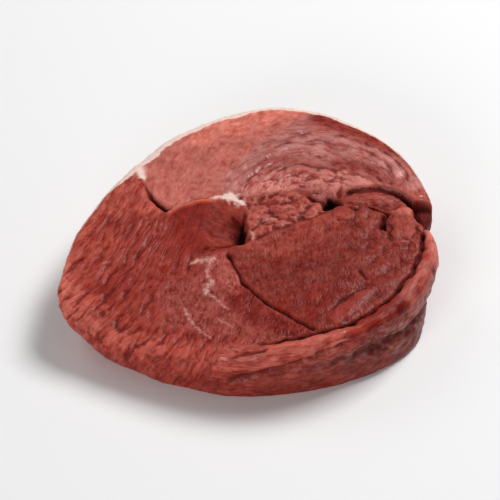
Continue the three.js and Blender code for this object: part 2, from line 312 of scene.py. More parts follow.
# %% Muscles: outline, softness of the edge in mm, tone, lie, and patterns
MUSCLES = {
    "long": (None, 0, (143, 47, 37), "slanted", LONG_CUT),
    "long, upper": (
        [(-60, 2), (-46, 3), (-33, 4), (-23, 3), (-25, 8), (-31, 18), (-40, 28), (-56, 14)],
        6, (165, 68, 56), "slanted", dict(bundles=0.1, fibres=0.08, ridges=0.2, waves=0.25),
    ),
    "long, outer edge": (
        [(-60, -42), (-44, -48), (-38, -46), (-38, -40), (-47, -32), (-53, -22), (-51, -8), (-45, 10),
         (-39, 24), (-50, 28), (-66, 0)],
        5, (178, 79, 66), "slanted", dict(bundles=0.18, fibres=0.14, ridges=0.35, waves=0.15),
    ),
    "long, left": (
        [(-52, -5), (-42, -3), (-39.5, -14), (-43, -22), (-51, -25)],
        6, (157, 58, 46), "slanted", dict(LONG_CUT, bundles=0.18, fibres=0.14, ridges=0.55),
    ),
    "front": (
        [(-26, -26), (-14, -20), (-6, -16), (2, -34), (22, -48), (10, -60), (-20, -60), (-26, -40)],
        7, (148, 62, 53), "front", dict(bundles=0.12, fibres=0.1, ridges=0.15, waves=0.35),
    ),
    "front, right": (
        [(-8, -24), (-1, -26), (8, -38), (22, -47), (8, -47), (-4, -38)],
        4, (122, 32, 24), "front", dict(bundles=0.12, fibres=0.1, waves=0.3),
    ),
    "front edge": (
        [(-62, -36), (-44, -37), (-30, -41), (-12, -47), (6, -50), (6, -64), (-30, -64), (-64, -48)],
        5, (152, 57, 47), "slanted", dict(bundles=0.32, fibres=0.12, layers=-0.55, waves=0.2),
    ),
    "wedge": (
        [(-16, -15), (-8, -11), (-2, -8), (-4, -18), (-1.5, -25), (-4, -30), (-8, -28), (-11, -20)],
        3, (159, 69, 60), "front", dict(bundles=0.14, fibres=0.12, waves=0.2),
    ),
    "hollow, left": (
        [(-25, 6), (-17.7, 10.8), (-9.3, 12), (-0.9, 9.4), (-0.1, -7.2), (-8, -11), (-20, -12)],
        10, (125, 27, 16), "slanted", dict(bundles=0.1, fibres=0.08, waves=0.3, grain=0.8),
    ),
    "hollow": (
        [(-12, 9), (-9.3, 11), (-0.9, 9), (-0.1, -7), (-8, -10), (-13, -6)],
        6, (142, 50, 40), "hollow", dict(bundles=0.06, fibres=0.04, waves=0.3, grain=0.55),
    ),
    # painted light: the hollow's back lip is lighter, as if lit from behind
    "hollow, lip with painted light": (
        [(-25.4, 6.6), (-21.7, 8.6), (-17.7, 10.5), (-12.7, 11.4), (-8.5, 11.8), (-8.5, 10.4), (-13, 9.7),
         (-18, 8.9), (-22, 6.8), (-25, 4.6)],
        1.8, (192, 84, 66), "hollow", dict(bundles=0.04, fibres=0.05, grain=0.5),
    ),
    "back left": (
        [(-33.4, 19.5), (-30.2, 12.1), (-24.6, 6.4), (-17.7, 10.5), (-9.3, 12), (-6.6, 12.8),
         (-6, 18.8), (-3, 25.8), (3, 33.8), (10, 40.8), (19, 46.8), (27, 54), (12, 66), (-12, 62),
         (-34, 48), (-46, 27)],
        0.9, (186, 99, 88), "swirl", SMOOTH_CUT,
    ),
    "back left, top": (
        [(-20, 38), (-8, 40), (4, 45), (14, 50), (24, 56), (8, 64), (-14, 58)],
        6, (210, 116, 101), "swirl", dict(SMOOTH_CUT, waves=0.2),
    ),
    "back right": (
        [(-6.4, 12.6), (0, 11.5), (8, 13), (17, 16), (21, 12), (25.5, 9), (29.4, 14.5), (34.8, 16.8),
         (44.8, 16.2), (50.6, 11.4), (54.4, 1), (60, 3), (66, 14), (62, 32), (48, 50), (29, 58),
         (19, 46.8), (10, 40.8), (3, 33.8), (-3, 25.8), (-6, 18.8)],
        2.2, (157, 79, 72), "arcs", dict(bundles=0.12, fibres=0.08, layers=0.95, waves=0.3, grain=0.8),
    ),
    "back right, beside back left": (
        [(-7, 15), (-3.6, 15), (-1, 22), (5, 31), (13, 39), (22, 46), (29, 52), (24, 57), (17, 48.5),
         (8, 41.5), (1, 34), (-5, 26), (-8, 18)],
        3, (172, 101, 95), "arcs", dict(bundles=0.1, fibres=0.08, layers=0.1, waves=0.2, grain=0.6),
    ),
    "back right, upper": (
        [(8, 34), (20, 30), (36, 27), (44, 29), (37, 38), (25, 44), (14, 40)],
        5, (172, 100, 94), "arcs", dict(bundles=0.1, fibres=0.08, layers=0.8, waves=0.25, grain=0.8),
    ),
    "back right, outer": (
        [(20, 48), (36, 38), (46, 28), (52, 20), (62, 20), (62, 36), (46, 52), (28, 58)],
        6, (142, 49, 40), "arcs", dict(bundles=0.14, fibres=0.08, layers=0.6, waves=0.2),
    ),
    "back right, flap": (
        [(40, 18), (48, 15.5), (51.5, 11), (54.5, 1), (62, 4), (62, 16), (54, 19)],
        3, (160, 70, 59), "arcs", dict(bundles=0.16, fibres=0.1, layers=0.4),
    ),
    # painted shade: the flap's end face is darkened
    "back right, end face in painted shade": (
        [(53.6, 0.6), (62, 0.6), (62, 11.6), (57, 10.6), (50.8, 10.2), (52.2, 5)],
        1.2, (106, 26, 20), "arcs", dict(bundles=0.1, fibres=0.08, waves=0.2),
    ),
    "back right, low": (
        [(-4, 13), (6, 13), (16, 16.5), (30, 16), (40, 18), (34, 24), (20, 25), (4, 24)],
        5, (182, 101, 92), "arcs", dict(bundles=0.2, fibres=0.08, layers=0.8, waves=0.6),
    ),
    # painted sheen: a lighter, pinker band where the wet meat glints
    "back right, band of painted sheen": (
        [(35, 37), (44, 32.5), (50, 26), (54.5, 17), (51.5, 15), (46, 22), (40, 28), (33, 32)],
        3.5, (181, 107, 100), "arcs", dict(BAND_CUT, bundles=0.12, fibres=0.1),
    ),
    "back right, inner band": (
        [(28, 31), (38, 27.5), (43, 22), (46.5, 17.5), (42, 18), (36, 23.5), (27, 27)],
        5, (142, 60, 53), "arcs", BAND_CUT,
    ),
    "crumbly": (
        [(0.7, -6.6), (9, -1.8), (19, 3.2), (24.6, 6.4), (24.6, 9), (20.5, 11.6), (17.6, 15),
         (8, 14.5), (-0.6, 11), (-0.8, 3)],
        3.5, (162, 72, 62), "crumbly", dict(bundles=0.18, fibres=0.12, crumbs=1.3),
    ),
    "round": (
        [(-6.6, -12), (-4.3, -18.7), (-1.4, -25.4), (3.2, -31.2), (9, -37), (15.7, -42), (22.3, -47),
         (33, -41.5), (44, -31), (51.5, -18), (54.2, -5), (54.2, 1), (51.5, 8), (44.4, 6.5),
         (37, 9.3), (24.8, 6.5), (19, 3), (9, -2), (0.7, -7)],
        0.8, (125, 42, 34), "round", ROUND_CUT,
    ),
    "round, upper": (
        [(-2, -8), (9, -3), (19, 2), (26, 6), (34, 6), (26, -5), (12, -13), (0, -15)],
        6, (146, 56, 46), "round", ROUND_CUT,
    ),
    "round, low": (
        [(8, -34), (14, -29), (28, -27), (28, -36), (24, -45), (16, -43)],
        5, (124, 34, 25), "round", dict(ROUND_CUT, fibres=0.05, grain=0.75),
    ),
    "round, right": (
        [(32, 7), (44, 5), (53, 6), (54, -8), (50, -18), (40, -22), (34, -10)],
        5, (130, 47, 38), "round", dict(bundles=0.2, fibres=0.1, waves=0.5, grain=0.95),
    ),
    "round, upright lobe": (
        [(45, 7), (51.5, 8), (53, 0), (51, -6), (45.5, -5), (44, 1)],
        3, (144, 56, 47), "round", dict(bundles=0.24, fibres=0.12, waves=0.5, grain=1.0),
    ),
    # painted highlight on the lit tip of the upright lobe
    "round, painted highlight on the lobe's tip": (
        [(45, 8), (52, 9), (52, 4.5), (45, 4)],
        2.5, (174, 82, 70), "round", dict(bundles=0.24, fibres=0.14, waves=0.3, grain=1.0),
    ),
    "round, front lobe": (
        [(25, -44), (32, -41), (39, -34), (37, -28), (31, -31), (25, -38)],
        2.5, (136, 47, 39), "round", dict(bundles=0.14, fibres=0.06, waves=0.2, grain=0.6),
    ),
    "tongue": (
        [(26.4, 8.6), (36.8, 9.6), (44.4, 7.2), (51, 9), (48.4, 13.8), (44.8, 15.6), (34.8, 16.2),
         (30.6, 14.4)],
        0.9, (149, 63, 54), "tongue", dict(bundles=0.14, fibres=0.08, waves=0.25, grain=0.7),
    ),
    "strap": (
        [(54.4, 1.6), (54.2, -5), (53, -12.9), (48.2, -24.5), (44, -31), (33.2, -41), (22.8, -46),
         (7, -50.6), (-8, -53), (-6, -66), (44, -60), (68, -34), (68, 0)],
        0.8, (162, 72, 62), "rim", STRAP_CUT,
    ),
    # painted shade: the strap's outer right slope is darker
    "strap, right": (
        [(53, 3), (54.6, -3), (54, -10), (51, -20), (45, -31), (36, -40), (30, -45), (34, -56),
         (50, -46), (68, -20), (66, 2)],
        4, (152, 48, 37), "rim", STRAP_CUT,
    ),
    "strap, top end": (
        [(54.6, 1.5), (54.8, -5), (55.6, -12), (57, -17), (64, -17), (64, 2)],
        3, (192, 92, 79), "rim", dict(bundles=0.14, fibres=0.1, waves=0.3),
    ),
    # painted shade over the strap's front right
    "strap, dark part in painted shade": (
        [(53, -19), (49, -26), (42, -35), (34, -42), (37, -46), (46, -39), (53, -29), (56, -21)],
        4, (123, 31, 22), "rim", STRAP_CUT,
    ),
    # painted highlight along the strap's front crest
    "strap, front crest with painted highlight": (
        [(27, -47.4), (16.6, -50.2), (6, -52.4), (4, -57), (18, -55), (28, -51.4)],
        3, (172, 78, 67), "rim", CREST_CUT,
    ),
    # painted highlight along the strap's right crest
    "strap, right crest with painted highlight": (
        [(46.4, -30.6), (49.6, -25), (53, -16), (58, -16), (55.5, -26), (50, -34)],
        2.5, (158, 68, 58), "rim", CREST_CUT,
    ),
}
TONE_OF, LIE_OF, CUT_OF = ({name: muscle[part] for name, muscle in MUSCLES.items()} for part in (2, 3, 4))


def muscle_shares(x, y):
    """Share of each muscle at each point: each one's soft cover, taken from what lies under it."""
    u, v = bent(x, y)
    shares = {}
    for name, (outline, soft, *_) in MUSCLES.items():
        cover = np.ones(x.shape) if outline is None else smoothstep(inside(outline, u, v) / soft + 0.5)
        for under in shares:
            shares[under] = shares[under] * (1 - cover)
        shares[name] = cover
    return shares


# %% [markdown]
# ## What the knife shows of the fibres
# Two sizes of bundles, layers, ridges, waves and crumbs are added up for each lie of the fibres, each by
# the millimetres that the muscles here give it. Because they are added by share, the grain of one
# muscle passes into that of the next without a step.

# %% Patterns over the muscles
# sizes in mm: two sizes of bundles and the crumbs, then layers and ridges across and along the fibres
BUNDLE, FIBRE, CRUMB = 1.9, 1.0, 4.8
LAYER_PITCH, LAYER_RUN = 4.6, 24
RIDGE_PITCH, RIDGE_RUN = 2.4, 2.2


def fibre_relief(x, y, depth, shares):
    """Sum over lies and patterns of the pattern times the millimetres that the muscles here give it.
    Patterns are made only where some muscle has them."""
    z = np.zeros(x.shape)
    for number, lie in enumerate(LIES):
        seed, drawn_out, low = 40 + 12 * number, LIES[lie][1], y - depth
        across, along = fibre_place(lie, x, y, depth)
        across = across + 0.9 * noise(x / 5, low / 5, seed)
        along = along + 1.3 / drawn_out * noise(x / 4, low / 4, seed + 1)
        uneven = np.clip(0.8 + 0.7 * noise(x / 8, low / 8, seed + 2), 0.25, 1.3)
        patterns = {
            "bundles": lambda: uneven * bundles(across / BUNDLE, along / BUNDLE, seed + 3),
            "fibres": lambda: bundles(across / FIBRE, along / FIBRE, seed + 4),
            "layers": lambda: layers(across, along * drawn_out, LAYER_PITCH, LAYER_RUN, seed + 5) - 0.4,
            "ridges": lambda: noise(across / RIDGE_PITCH, along / RIDGE_RUN, seed + 11),
            "waves": lambda: (
                noise(x / 5, low / 4, seed + 8) + 0.3 * noise(across / 2, along / 2, seed + 9)
            ),
            "crumbs": lambda: (
                0.5 * bundles(across / CRUMB, along / CRUMB, seed + 10) + 0.4 * noise(x / 3.2, y / 2.6, 60)
            ),
        }
        for name, pattern in patterns.items():
            amount = sum(shares[m] * CUT_OF[m].get(name, 0) for m in MUSCLES if LIE_OF[m] == lie)
            if np.any(amount):
                z = z + amount * pattern()
    return z


# %% [markdown]
# ## Broad form of the cut face
# The slice is 21 mm thick and thins towards its front left. Each muscle swells a little, because it
# draws back from the knife by a different amount.

# %% Broad form
THICKNESS = 21.0
# height, place and reach in mm: a dip at the front left, four swells and a low place at the front
SWELLS = [
    (-6.0, (-43.5, -51), (24, 24)),
    (0.8, (-13.5, 33), (16, 10)),
    (0.9, (32.5, 32), (14, 10)),
    (1.0, (20.5, -19), (20, 15)),
    (1.0, (-39.5, -3), (12, 20)),
    (-0.6, (-5.5, -41), (12, 8)),
]


def broad_height(x, y):
    """Thickness plus a bell for each swell or dip."""
    z = np.full(x.shape, THICKNESS)
    for height, place, reach in SWELLS:
        z = z + height * bell(x, y, place, reach)
    return z


# %% [markdown]
# ## Seams, cracks and lobes
# Between two muscles the knife leaves a thin dark line, and often one muscle stands higher than its
# neighbour. A seam here is a narrow cut with rounded shoulders, and each side may rise or sink towards
# it. Lobes are the small torn ends of bundles beside the pit; each is a low dome with a crisp edge.

# %% Seams: points, half width, depth, rise on the left, rise on the right, fade at start and end
SEAMS = {
    "long and back": (
        [(-33.4, 20), (-32.2, 16.6), (-30.2, 12.1), (-27.7, 8.8), (-24.6, 6.2)],
        0.8, 3.2, -1.0, 0.5, 0.8, 0.05,
    ),
    "lip of the hollow": (
        [(-24.6, 6.2), (-21.8, 8.4), (-17.7, 10.5), (-12.7, 11.3), (-9.3, 11.7)],
        0.4, 0.35, -0.4, 0.6, 0.05, 0.3,
    ),
    "notch wall": ([(-1.6, 9.2), (-0.9, 3.8), (-0.6, 0.5), (0.3, -6.6)], 0.7, 1.2, 0.7, 0, 0.2, 0.05),
    "hollow foot": ([(0.3, -7), (-4.3, -9.1), (-7.7, -11.2)], 0.7, 0.8, 0.5, 0, 0.1, 0.3),
    "round, left": (
        [(-6.4, -11.6), (-4.3, -18.7), (-1.4, -25.4), (3.2, -31.2), (9, -37), (15.7, -42), (22.3, -46.4)],
        0.42, 1.3, 0.5, 0.1, 0.04, 0.1,
    ),
    "round, top": (
        [(0.7, -7), (4, -5.4), (9, -2), (14, 0.5), (19, 3), (22.3, 4.6), (24.4, 6.3)],
        0.6, 1.1, -0.8, 0.8, 0.05, 0.05,
    ),
    "knob, left": ([(25, 10.6), (22.6, 11.4), (20.4, 12.2), (17.4, 13.8)], 0.7, 2.4, 0.3, -0.2, 0.02, 0.3),
    "knob, right": ([(27, 10.4), (28.2, 12.8), (28.8, 15.2), (29, 17)], 0.6, 1.8, 0.1, 0.1, 0.02, 0.5),
    "under the flap": (
        [(27.6, 12.8), (31.5, 15.4), (34.8, 16.5), (39.8, 16.9), (44.8, 16), (48.4, 14.2), (50.6, 11.2),
         (51.9, 8), (53.2, 3.8), (54.4, 0.6)],
        0.5, 1.4, 1.1, -0.2, 0.1, 0.05,
    ),
    "flap, deep end": ([(43, 16), (48.4, 13.2), (50.8, 10), (52.2, 6), (54, 1.4)], 0.8, 1.8, 0, 0, 0.5, 0.2),
    "flap, corner": ([(50.6, 11.2), (54, 11.4), (58.6, 12.4)], 0.5, 0.2, 0.7, 0, 0.2, 0),
    "under the tongue": (
        [(26.4, 7.4), (29.3, 8.2), (32.2, 7.4), (34.2, 6.6), (35.4, 8.0), (37.5, 8.8)],
        0.5, 1.3, 0, 0.6, 0.05, 0.05,
    ),
    "beside the upright lobe": (
        [(36.8, 8.9), (40.8, 6.6), (43.9, 5.9), (42.4, 3.1), (41.8, 0.3), (42.6, -3.4)],
        0.75, 2.8, 0.2, 0.4, 0.06, 0.15,
    ),
    "knob on the fat": ([(-4.4, 13.2), (-2.6, 12.2), (-0.8, 11.6)], 0.6, 1.2, 0.3, 0, 0.3, 0.3),
    "upright, right": ([(51.4, 8), (52.3, 4), (52.8, -1), (52.2, -8)], 0.6, 1.0, 0, 0.1, 0.2, 0.4),
    "nick": ([(30, -15.6), (33.4, -19.4), (35.2, -22.4), (37.2, -24.4)], 0.55, 1.5, -0.2, 0.5, 0.7, 0.3),
    "lobe": ([(46.2, -3.5), (48.2, -6.2), (50.4, -7.4)], 0.5, 0.7, 0, 0.2, 0.3, 0.3),
    "front lobe": ([(24.5, -38), (28, -33.5), (33, -29.5), (38, -26.5)], 0.7, 0.7, -0.2, 0.5, 0.3, 0.3),
    "front lip": ([(8, -53.5), (0, -54.6), (-6, -56)], 0.6, 1.0, 0.6, -0.3, 0.3, 0.2),
}

# centre, half length, half width, heading, height, all in mm but the heading in degrees
LOBES = [
    ((38.5, 13), 9.5, 3.6, -4, 0.9),
    ((48.4, 0.6), 9.2, 4.1, 84, 1.6),
    ((29.3, 4.6), 3.6, 3.2, 0, 0.9),
    ((35.6, 5.2), 3.4, 2.0, 85, 0.8),
    ((39.4, 2.6), 3.6, 2.2, 95, 0.5),
    ((20.6, 17.4), 3.6, 3.0, 20, 0.7),
    ((25.4, 16.6), 3.2, 2.8, -20, 0.8),
    ((33.0, 19.4), 4.0, 2.8, -20, 0.9),
    ((31.2, -35.5), 9, 3.2, 50, 0.9),
    ((4.5, -1.5), 3.4, 2.2, 35, 0.7),
    ((1.2, -4.8), 2.0, 1.4, 110, 0.8),
    ((12, 7), 4.2, 2.6, 20, 0.6),
    ((7, 3), 2.6, 1.8, 30, 0.7),
    ((-6, 10.8), 3.4, 2.0, -10, 0.5),
]
# mm over which the rise beside a seam dies away
RISE_REACH = 3.5


def seam_relief(x, y):
    """Sum over the seams of: minus a narrow bell-shaped cut with a cusp-shaped shoulder, plus each side's
    rise. Width and depth waver along the seam by noise."""
    z = np.zeros(x.shape)
    for points, half, depth, left, right, start, end in SEAMS.values():
        gap, signed, along = from_line(smooth_line(points, steps=6), x, y)
        fade = tapered(along, start, end)
        length = sum(math.dist(a, b) for a, b in zip(points, points[1:]))
        uneven = noise(along * length / 4.5, 0 * along, seed=round(7 * length))
        half = half * (0.55 + 0.45 * fade) * (1 + 0.35 * uneven)
        depth = depth * (1 + 0.3 * uneven)
        cut = depth * (0.65 * np.exp(-((gap / half) ** 2)) + 0.35 * np.exp(-gap / (2.2 * half)))
        leftness = 0.5 + 0.5 * np.tanh(signed / (0.7 * half))
        rise = (left * leftness + right * (1 - leftness)) * np.exp(-gap / RISE_REACH)
        z += fade * (rise - cut)
    return z


def lobe_relief(x, y):
    """Sum of domes: height times (1 - r^2) to the power 0.6, where r is 1 on the lobe's ellipse, made
    uneven by noise."""
    z = np.zeros(x.shape)
    uneven = 1 + 0.45 * noise(x / 2.8, y / 2.8, 62)
    for (cx, cy), length, width, heading, height in LOBES:
        across, along = turned(x - cx, y - cy, heading)
        z += height * np.clip(1 - uneven * ((across / width) ** 2 + (along / length) ** 2), 0, 1) ** 0.6
    return z


# %% [markdown]
# ## Fat and membrane
# Fat shows as a cream rim round the back left, a small knob where three muscles meet, and a branching
# streak in the front. Its edge is ragged at a finer scale than the mesh, so the mesh only carries how
# near each point is to fat, and the finish draws the ragged edge from that.

# %% Fat streaks: points, half width at the middle in mm, and how solid the fat is
FAT_STREAKS = [
    ([(-17.8, -16.8), (-14.6, -15.8), (-10.4, -15.2)], 1.9, 0.66),
    ([(-12, -15.6), (-12.4, -21.2), (-11.6, -25.6)], 1.3, 0.55),
    ([(-11.2, -24), (-12.2, -27.5), (-13, -30.5)], 2.0, 0.64),
    ([(-12.4, -29.5), (-9.3, -33), (-6, -37)], 0.9, 0.55),
    ([(-19.6, -36.5), (-18, -40), (-16.4, -43.5)], 1.7, 0.55),
    ([(-17, -43), (-14.4, -46), (-11, -48.5)], 1.0, 0.55),
    ([(-9.2, -41), (-7, -43), (-5, -44.5)], 1.5, 0.5),
    ([(-12.4, 11.3), (-9.6, 11.8), (-7, 12)], 1.3, 0.85),
    ([(-7.6, 11.4), (-5.6, 11.8), (-4.2, 10.8)], 3.2, 1),
    ([(-4.6, 10.4), (-2.6, 10.4), (-1.2, 9.4)], 1.9, 0.9),
    ([(-4.6, 9.2), (-3.4, 8.6), (-2.4, 8.6)], 1.0, 0.7),
    ([(0.2, -2), (1.0, -4.8), (1.6, -6.6)], 1.0, 0.62),
    ([(4.4, 2.4), (6.6, 3.8), (8.8, 4)], 2.0, 0.55),
    ([(-39, 26), (-34.8, 25.4), (-33.2, 20.2)], 2.0, 1),
]
# angle in degrees and width in mm of the fat that shows round the edge of the face
RIM_FAT = [
    (-180, 0.9), (-165, 0.8), (-157, 0.5), (-150, 0), (10, 0), (25, 0.9), (45, 1.7), (62, 2.4),
    (80, 2.9), (100, 3.1), (118, 3.2), (132, 3.3), (146, 3.2), (156, 2.2), (163, 1.4), (180, 0.9),
]
# mm from the edge of that fat to where it is solid
RIM_FAT_EDGE = 0.7


def fat_nearness(x, y):
    """1 in the middle of a streak of fat, 0.5 at its edge, falling to 0 one width further out; streaks
    thin towards their ends."""
    near = np.zeros(x.shape)
    for points, half, solid in FAT_STREAKS:
        gap, _, along = from_line(smooth_line(points, steps=6), x, y)
        width = half * (0.4 + 0.6 * np.sqrt(np.clip(4 * along * (1 - along), 0, 1)))
        near = np.maximum(near, solid * np.clip(1 - 0.5 * gap / width, 0, 1))
    return near


def rim_nearness(angle, from_edge):
    """The same for the rim, but crisp: 0.5 where the distance from the edge is the rim's width there, and
    1 where it is solid. The width wavers by noise of two sizes."""
    degrees, widths = np.array(RIM_FAT).T
    width = np.interp(np.degrees(angle), degrees, widths, period=360)
    arc = arc_length(angle)
    width = width * (1 + 0.3 * noise(arc / 9, 0 * arc, 94) + 0.12 * noise(arc / 2.5, 0 * arc, 98))
    return np.clip(0.5 + 0.5 * (width - from_edge) / RIM_FAT_EDGE, 0, 1) * smoothstep(width / 0.3)


# %% [markdown]
# ## Hollow, pit and strap
# Where the bone was pushed out the face sinks by nearly 7 mm: steeply at the right, and slowly from the
# left. A small pit lies beside it. The strap is a low band that stands up along the front right rim, with
# a narrow groove behind it. Each is a depth worked out from lines, as the seams are.

# %% Hollow, pit and strap
# corners anticlockwise, and how far in from each side the floor is reached, in mm
HOLLOW = [(-18.5, -16.5), (-0.1, -8.2), (-0.3, 9.6), (-9.3, 12), (-17.7, 10.6), (-25.2, 6)]
HOLLOW_SLOPES = [6, 1.6, 10, 14, 14, 22]
HOLLOW_DEPTH = 6.6
# place, half widths and depth of the black corner at the hollow's foot, and of the pit
BLACK_CORNER = ((-1.7, -5.4), (1.2, 1.3), 1.4)
PIT = ((26.1, 9.9), (2.9, 3.0), 7.5)
# the back flap ends in a corner, and its end face falls away from there to the notch
FLAP_END = [(54.2, 0.6), (66, 0.6), (66, 12.2), (50.2, 10.4)]
FLAP_END_SLOPES = [3.5, 1, 1.3, 1.2]
FLAP_END_DEPTH = 4.2
STRAP_EDGE = [
    (53.9, 0.4), (54.2, -3), (53.9, -7.9), (53, -12.9), (51.5, -17.9), (48.2, -24.5), (44, -31),
    (38.2, -36.6), (33.2, -41), (29.8, -43.4), (22.8, -46), (16, -48.6), (7, -50.6), (0, -51.8),
]
# mm: height of the band, how far from the groove it is reached, and how much it sinks beyond its crest
STRAP_RISE, STRAP_SLOPE, STRAP_SINK = 1.6, 2.2, 0.5
# depth and half width in mm of the groove's narrow cut, and of its shoulders
GROOVE_CUT, GROOVE_SHOULDER = (1.2, 0.6), (0.5, 1.4)


def scoop(corners, slopes, x, y):
    """1 on the floor of a scoop and 0 outside: the product over the sides of a smooth step inwards."""
    cover = np.ones(x.shape)
    for (ax, ay), (bx, by), slope in zip(corners, corners[1:] + corners[:1], slopes):
        within = ((bx - ax) * (y - ay) - (by - ay) * (x - ax)) / math.hypot(bx - ax, by - ay)
        cover = cover * smoothstep(within / slope)
    return cover


def scoop_relief(x, y):
    """The hollow with its black corner, and the end face of the flap."""
    place, reach, deep = BLACK_CORNER
    hollow = HOLLOW_DEPTH * scoop(HOLLOW, HOLLOW_SLOPES, x, y) + deep * bell(x, y, place, reach)
    return -hollow - FLAP_END_DEPTH * scoop(FLAP_END, FLAP_END_SLOPES, x, y)


def pit_depth(x, y, shares):
    """Depth of the pit in mm: a hole with steep walls, e to the minus r^6. The round muscle isn't cut."""
    (cx, cy), (wide, long), deep = PIT
    u, v = bent(x, y)
    hole = np.exp(-((((u - cx) / wide) ** 2 + ((v - cy) / long) ** 2) ** 3))
    return deep * hole * (1 - sum(shares[m] for m in MUSCLES if m.startswith("round")))


def strap_relief(x, y):
    """Groove along the strap's inner edge, and outside it a rounded band: a smooth step up and a smaller
    one down, made uneven by noise."""
    gap, signed, along = from_line(smooth_line(STRAP_EDGE, steps=6), x, y)
    band = STRAP_RISE * smoothstep(gap / STRAP_SLOPE) - STRAP_SINK * smoothstep((gap - 3) / 3)
    band = np.where(signed > 0, band + 0.35 * noise(gap / 3, along * 24, 65), 0)
    (cut, cut_half), (slope, slope_half) = GROOVE_CUT, GROOVE_SHOULDER
    groove = cut * np.exp(-((gap / cut_half) ** 2)) + slope * np.exp(-gap / slope_half)
    return tapered(along, 0.04, 0.12) * (band - groove * (0.9 + 0.6 * noise(along * 22, 0 * along, 64)))


# mm by which the crumbly part and the tongue lie lower than what is round them, and fat stands higher
CRUMBLY_LOWER, TONGUE_LOWER, FAT_HIGHER = 0.5, 1.4, 0.35


def face_relief(x, y, depth, shares):
    """All that stands above or lies below the broad form of the cut face, in mm."""
    u, v = bent(x, y)
    z = seam_relief(u, v) + lobe_relief(u, v) + scoop_relief(u, v) + strap_relief(u, v)
    z -= pit_depth(x, y, shares) + CRUMBLY_LOWER * shares["crumbly"] + TONGUE_LOWER * shares["tongue"]
    z += FAT_HIGHER * smoothstep((fat_nearness(u, v) - 0.3) / 0.5)
    return z + fibre_relief(x, y, depth, shares)


# %% [markdown]
# ## A square grid pressed into the outline
# A round plate made of rings meets in a pinched pole. A square grid pressed into the outline has no
# pole and almost even cells: each square ring of the grid becomes a ring of the outline. The underside
# carries less detail, so its grid has half as many cells each way.

# %% Press a square grid into the outline
CELLS = 252
CELL = 118 / CELLS


def square_to_outline(cells):
    """Share of the way out and angle for each corner of a square grid: the larger of |u| and |v| is the
    share, and the other over it gives the angle within a quarter."""
    u, v = np.meshgrid(np.linspace(-1, 1, cells + 1), np.linspace(-1, 1, cells + 1))
    flat = abs(u) >= abs(v)
    safe_u, safe_v = np.where(flat & (u != 0), u, 1), np.where(flat | (v == 0), 1, v)
    angle = np.where(flat, np.pi / 4 * v / safe_u, np.pi / 2 - np.pi / 4 * u / safe_v)
    angle = np.where(np.where(flat, u < 0, v < 0), angle + np.pi, angle)
    return np.maximum(abs(u), abs(v)), angle


def ring_of(grid):
    """The outer corners of a square grid, anticlockwise from its lower left."""
    return np.concatenate([grid[0, :-1], grid[:-1, -1], grid[-1, :0:-1], grid[:0:-1, 0]])


share, angle = square_to_outline(CELLS)
print("cell size across the face, mm:", round(CELL, 2))

# %% [markdown]
# ## The cut face
# The measured lines were read off a level plane, so each point is first slid along y by as much as the
# face lies below it. The face turns down into the side in a rounded shoulder. At the front left the rim
# is soft and scalloped: the layers hang over it, and its crest has dried and stands up a little.

# %% Parts of the rim: middle and spread, both in degrees
OVERHANG = (-138, 34)
SOFT_CORNER = (-135, 36)
STRAP_END = (-14, 22)
# mm from the rim at which the shoulder starts, and how much of that it drops, as a share of a quarter
# round; then what the soft corner and the strap's end add to both
SHOULDER, SHOULDER_DROP = 3.4, 0.52
SOFTER_CORNER, SOFTER_STRAP_END = (1.2, 0.16), (1.6, 0.5)
# the rim is drawn in by this much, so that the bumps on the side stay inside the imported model
RIM_INSET = 0.35
# nothing stands higher than this
CEILING = 22.4


# %% The cut face
def toward(angle, middle, spread):
    """1 in one direction from the middle, falling off smoothly: angles in degrees."""
    apart = (angle - math.radians(middle) + np.pi) % (2 * np.pi) - np.pi
    return np.exp(-((apart / math.radians(spread)) ** 2))


def rim_radius(angle):
    """Outline less small dents where the layers of the front left end, made uneven by noise."""
    r = face_radius(angle)
    across, along = turned(r * np.cos(angle), r * np.sin(angle), 57)
    dents = 0.5 * toward(angle, *OVERHANG) * np.clip(-bundles(across / 3.2, along / 9, 45), 0, 1.2)
    return r - dents - RIM_INSET - 0.15 * noise(arc_length(angle) / 2.2, 0 * angle, 66)


def rim_bundles(x, y, depth, beyond, angle):
    """Thicker bundles that hang over the front left rim: mm of crease between them, fading out about
    10 mm in from the rim."""
    across, along = fibre_place("slanted", x, y, depth)
    across = across + 1.6 * noise(x / 6, (y - depth) / 6, 67)
    gaps = np.clip(-bundles(across / 3.6, along / 3.6, 68), 0, 1.2)
    uneven = np.clip(0.8 + 0.9 * noise(x / 7, (y - depth) / 7, 69), 0.1, 1.4)
    return 0.6 * uneven * gaps * toward(angle, *OVERHANG) * np.exp(-((np.maximum(beyond, 0) / 9) ** 2))


def rim_crest(within, angle):
    """At the front left, a crest 1.2 mm in from the rim and a shallow trough 7 mm in, both uneven."""
    crest = np.exp(-(((within - 1.2) / 1.7) ** 2)) - 0.5 * np.exp(-(((within - 7) / 2.4) ** 2))
    return 0.5 * toward(angle, *SOFT_CORNER) * crest * (1 + 0.8 * noise(arc_length(angle) / 5, 0 * angle, 63))


def shoulder(within, angle):
    """How far the face drops near the rim: a quarter round of the shoulder's reach, flattened."""
    soft, strap_end = toward(angle, *SOFT_CORNER), toward(angle, *STRAP_END)
    reach = SHOULDER + SOFTER_CORNER[0] * soft + SOFTER_STRAP_END[0] * strap_end
    drop = SHOULDER_DROP + SOFTER_CORNER[1] * soft + SOFTER_STRAP_END[1] * strap_end
    into = np.clip(reach - within, 0, reach)
    return drop * (reach - np.sqrt(reach**2 - into**2))


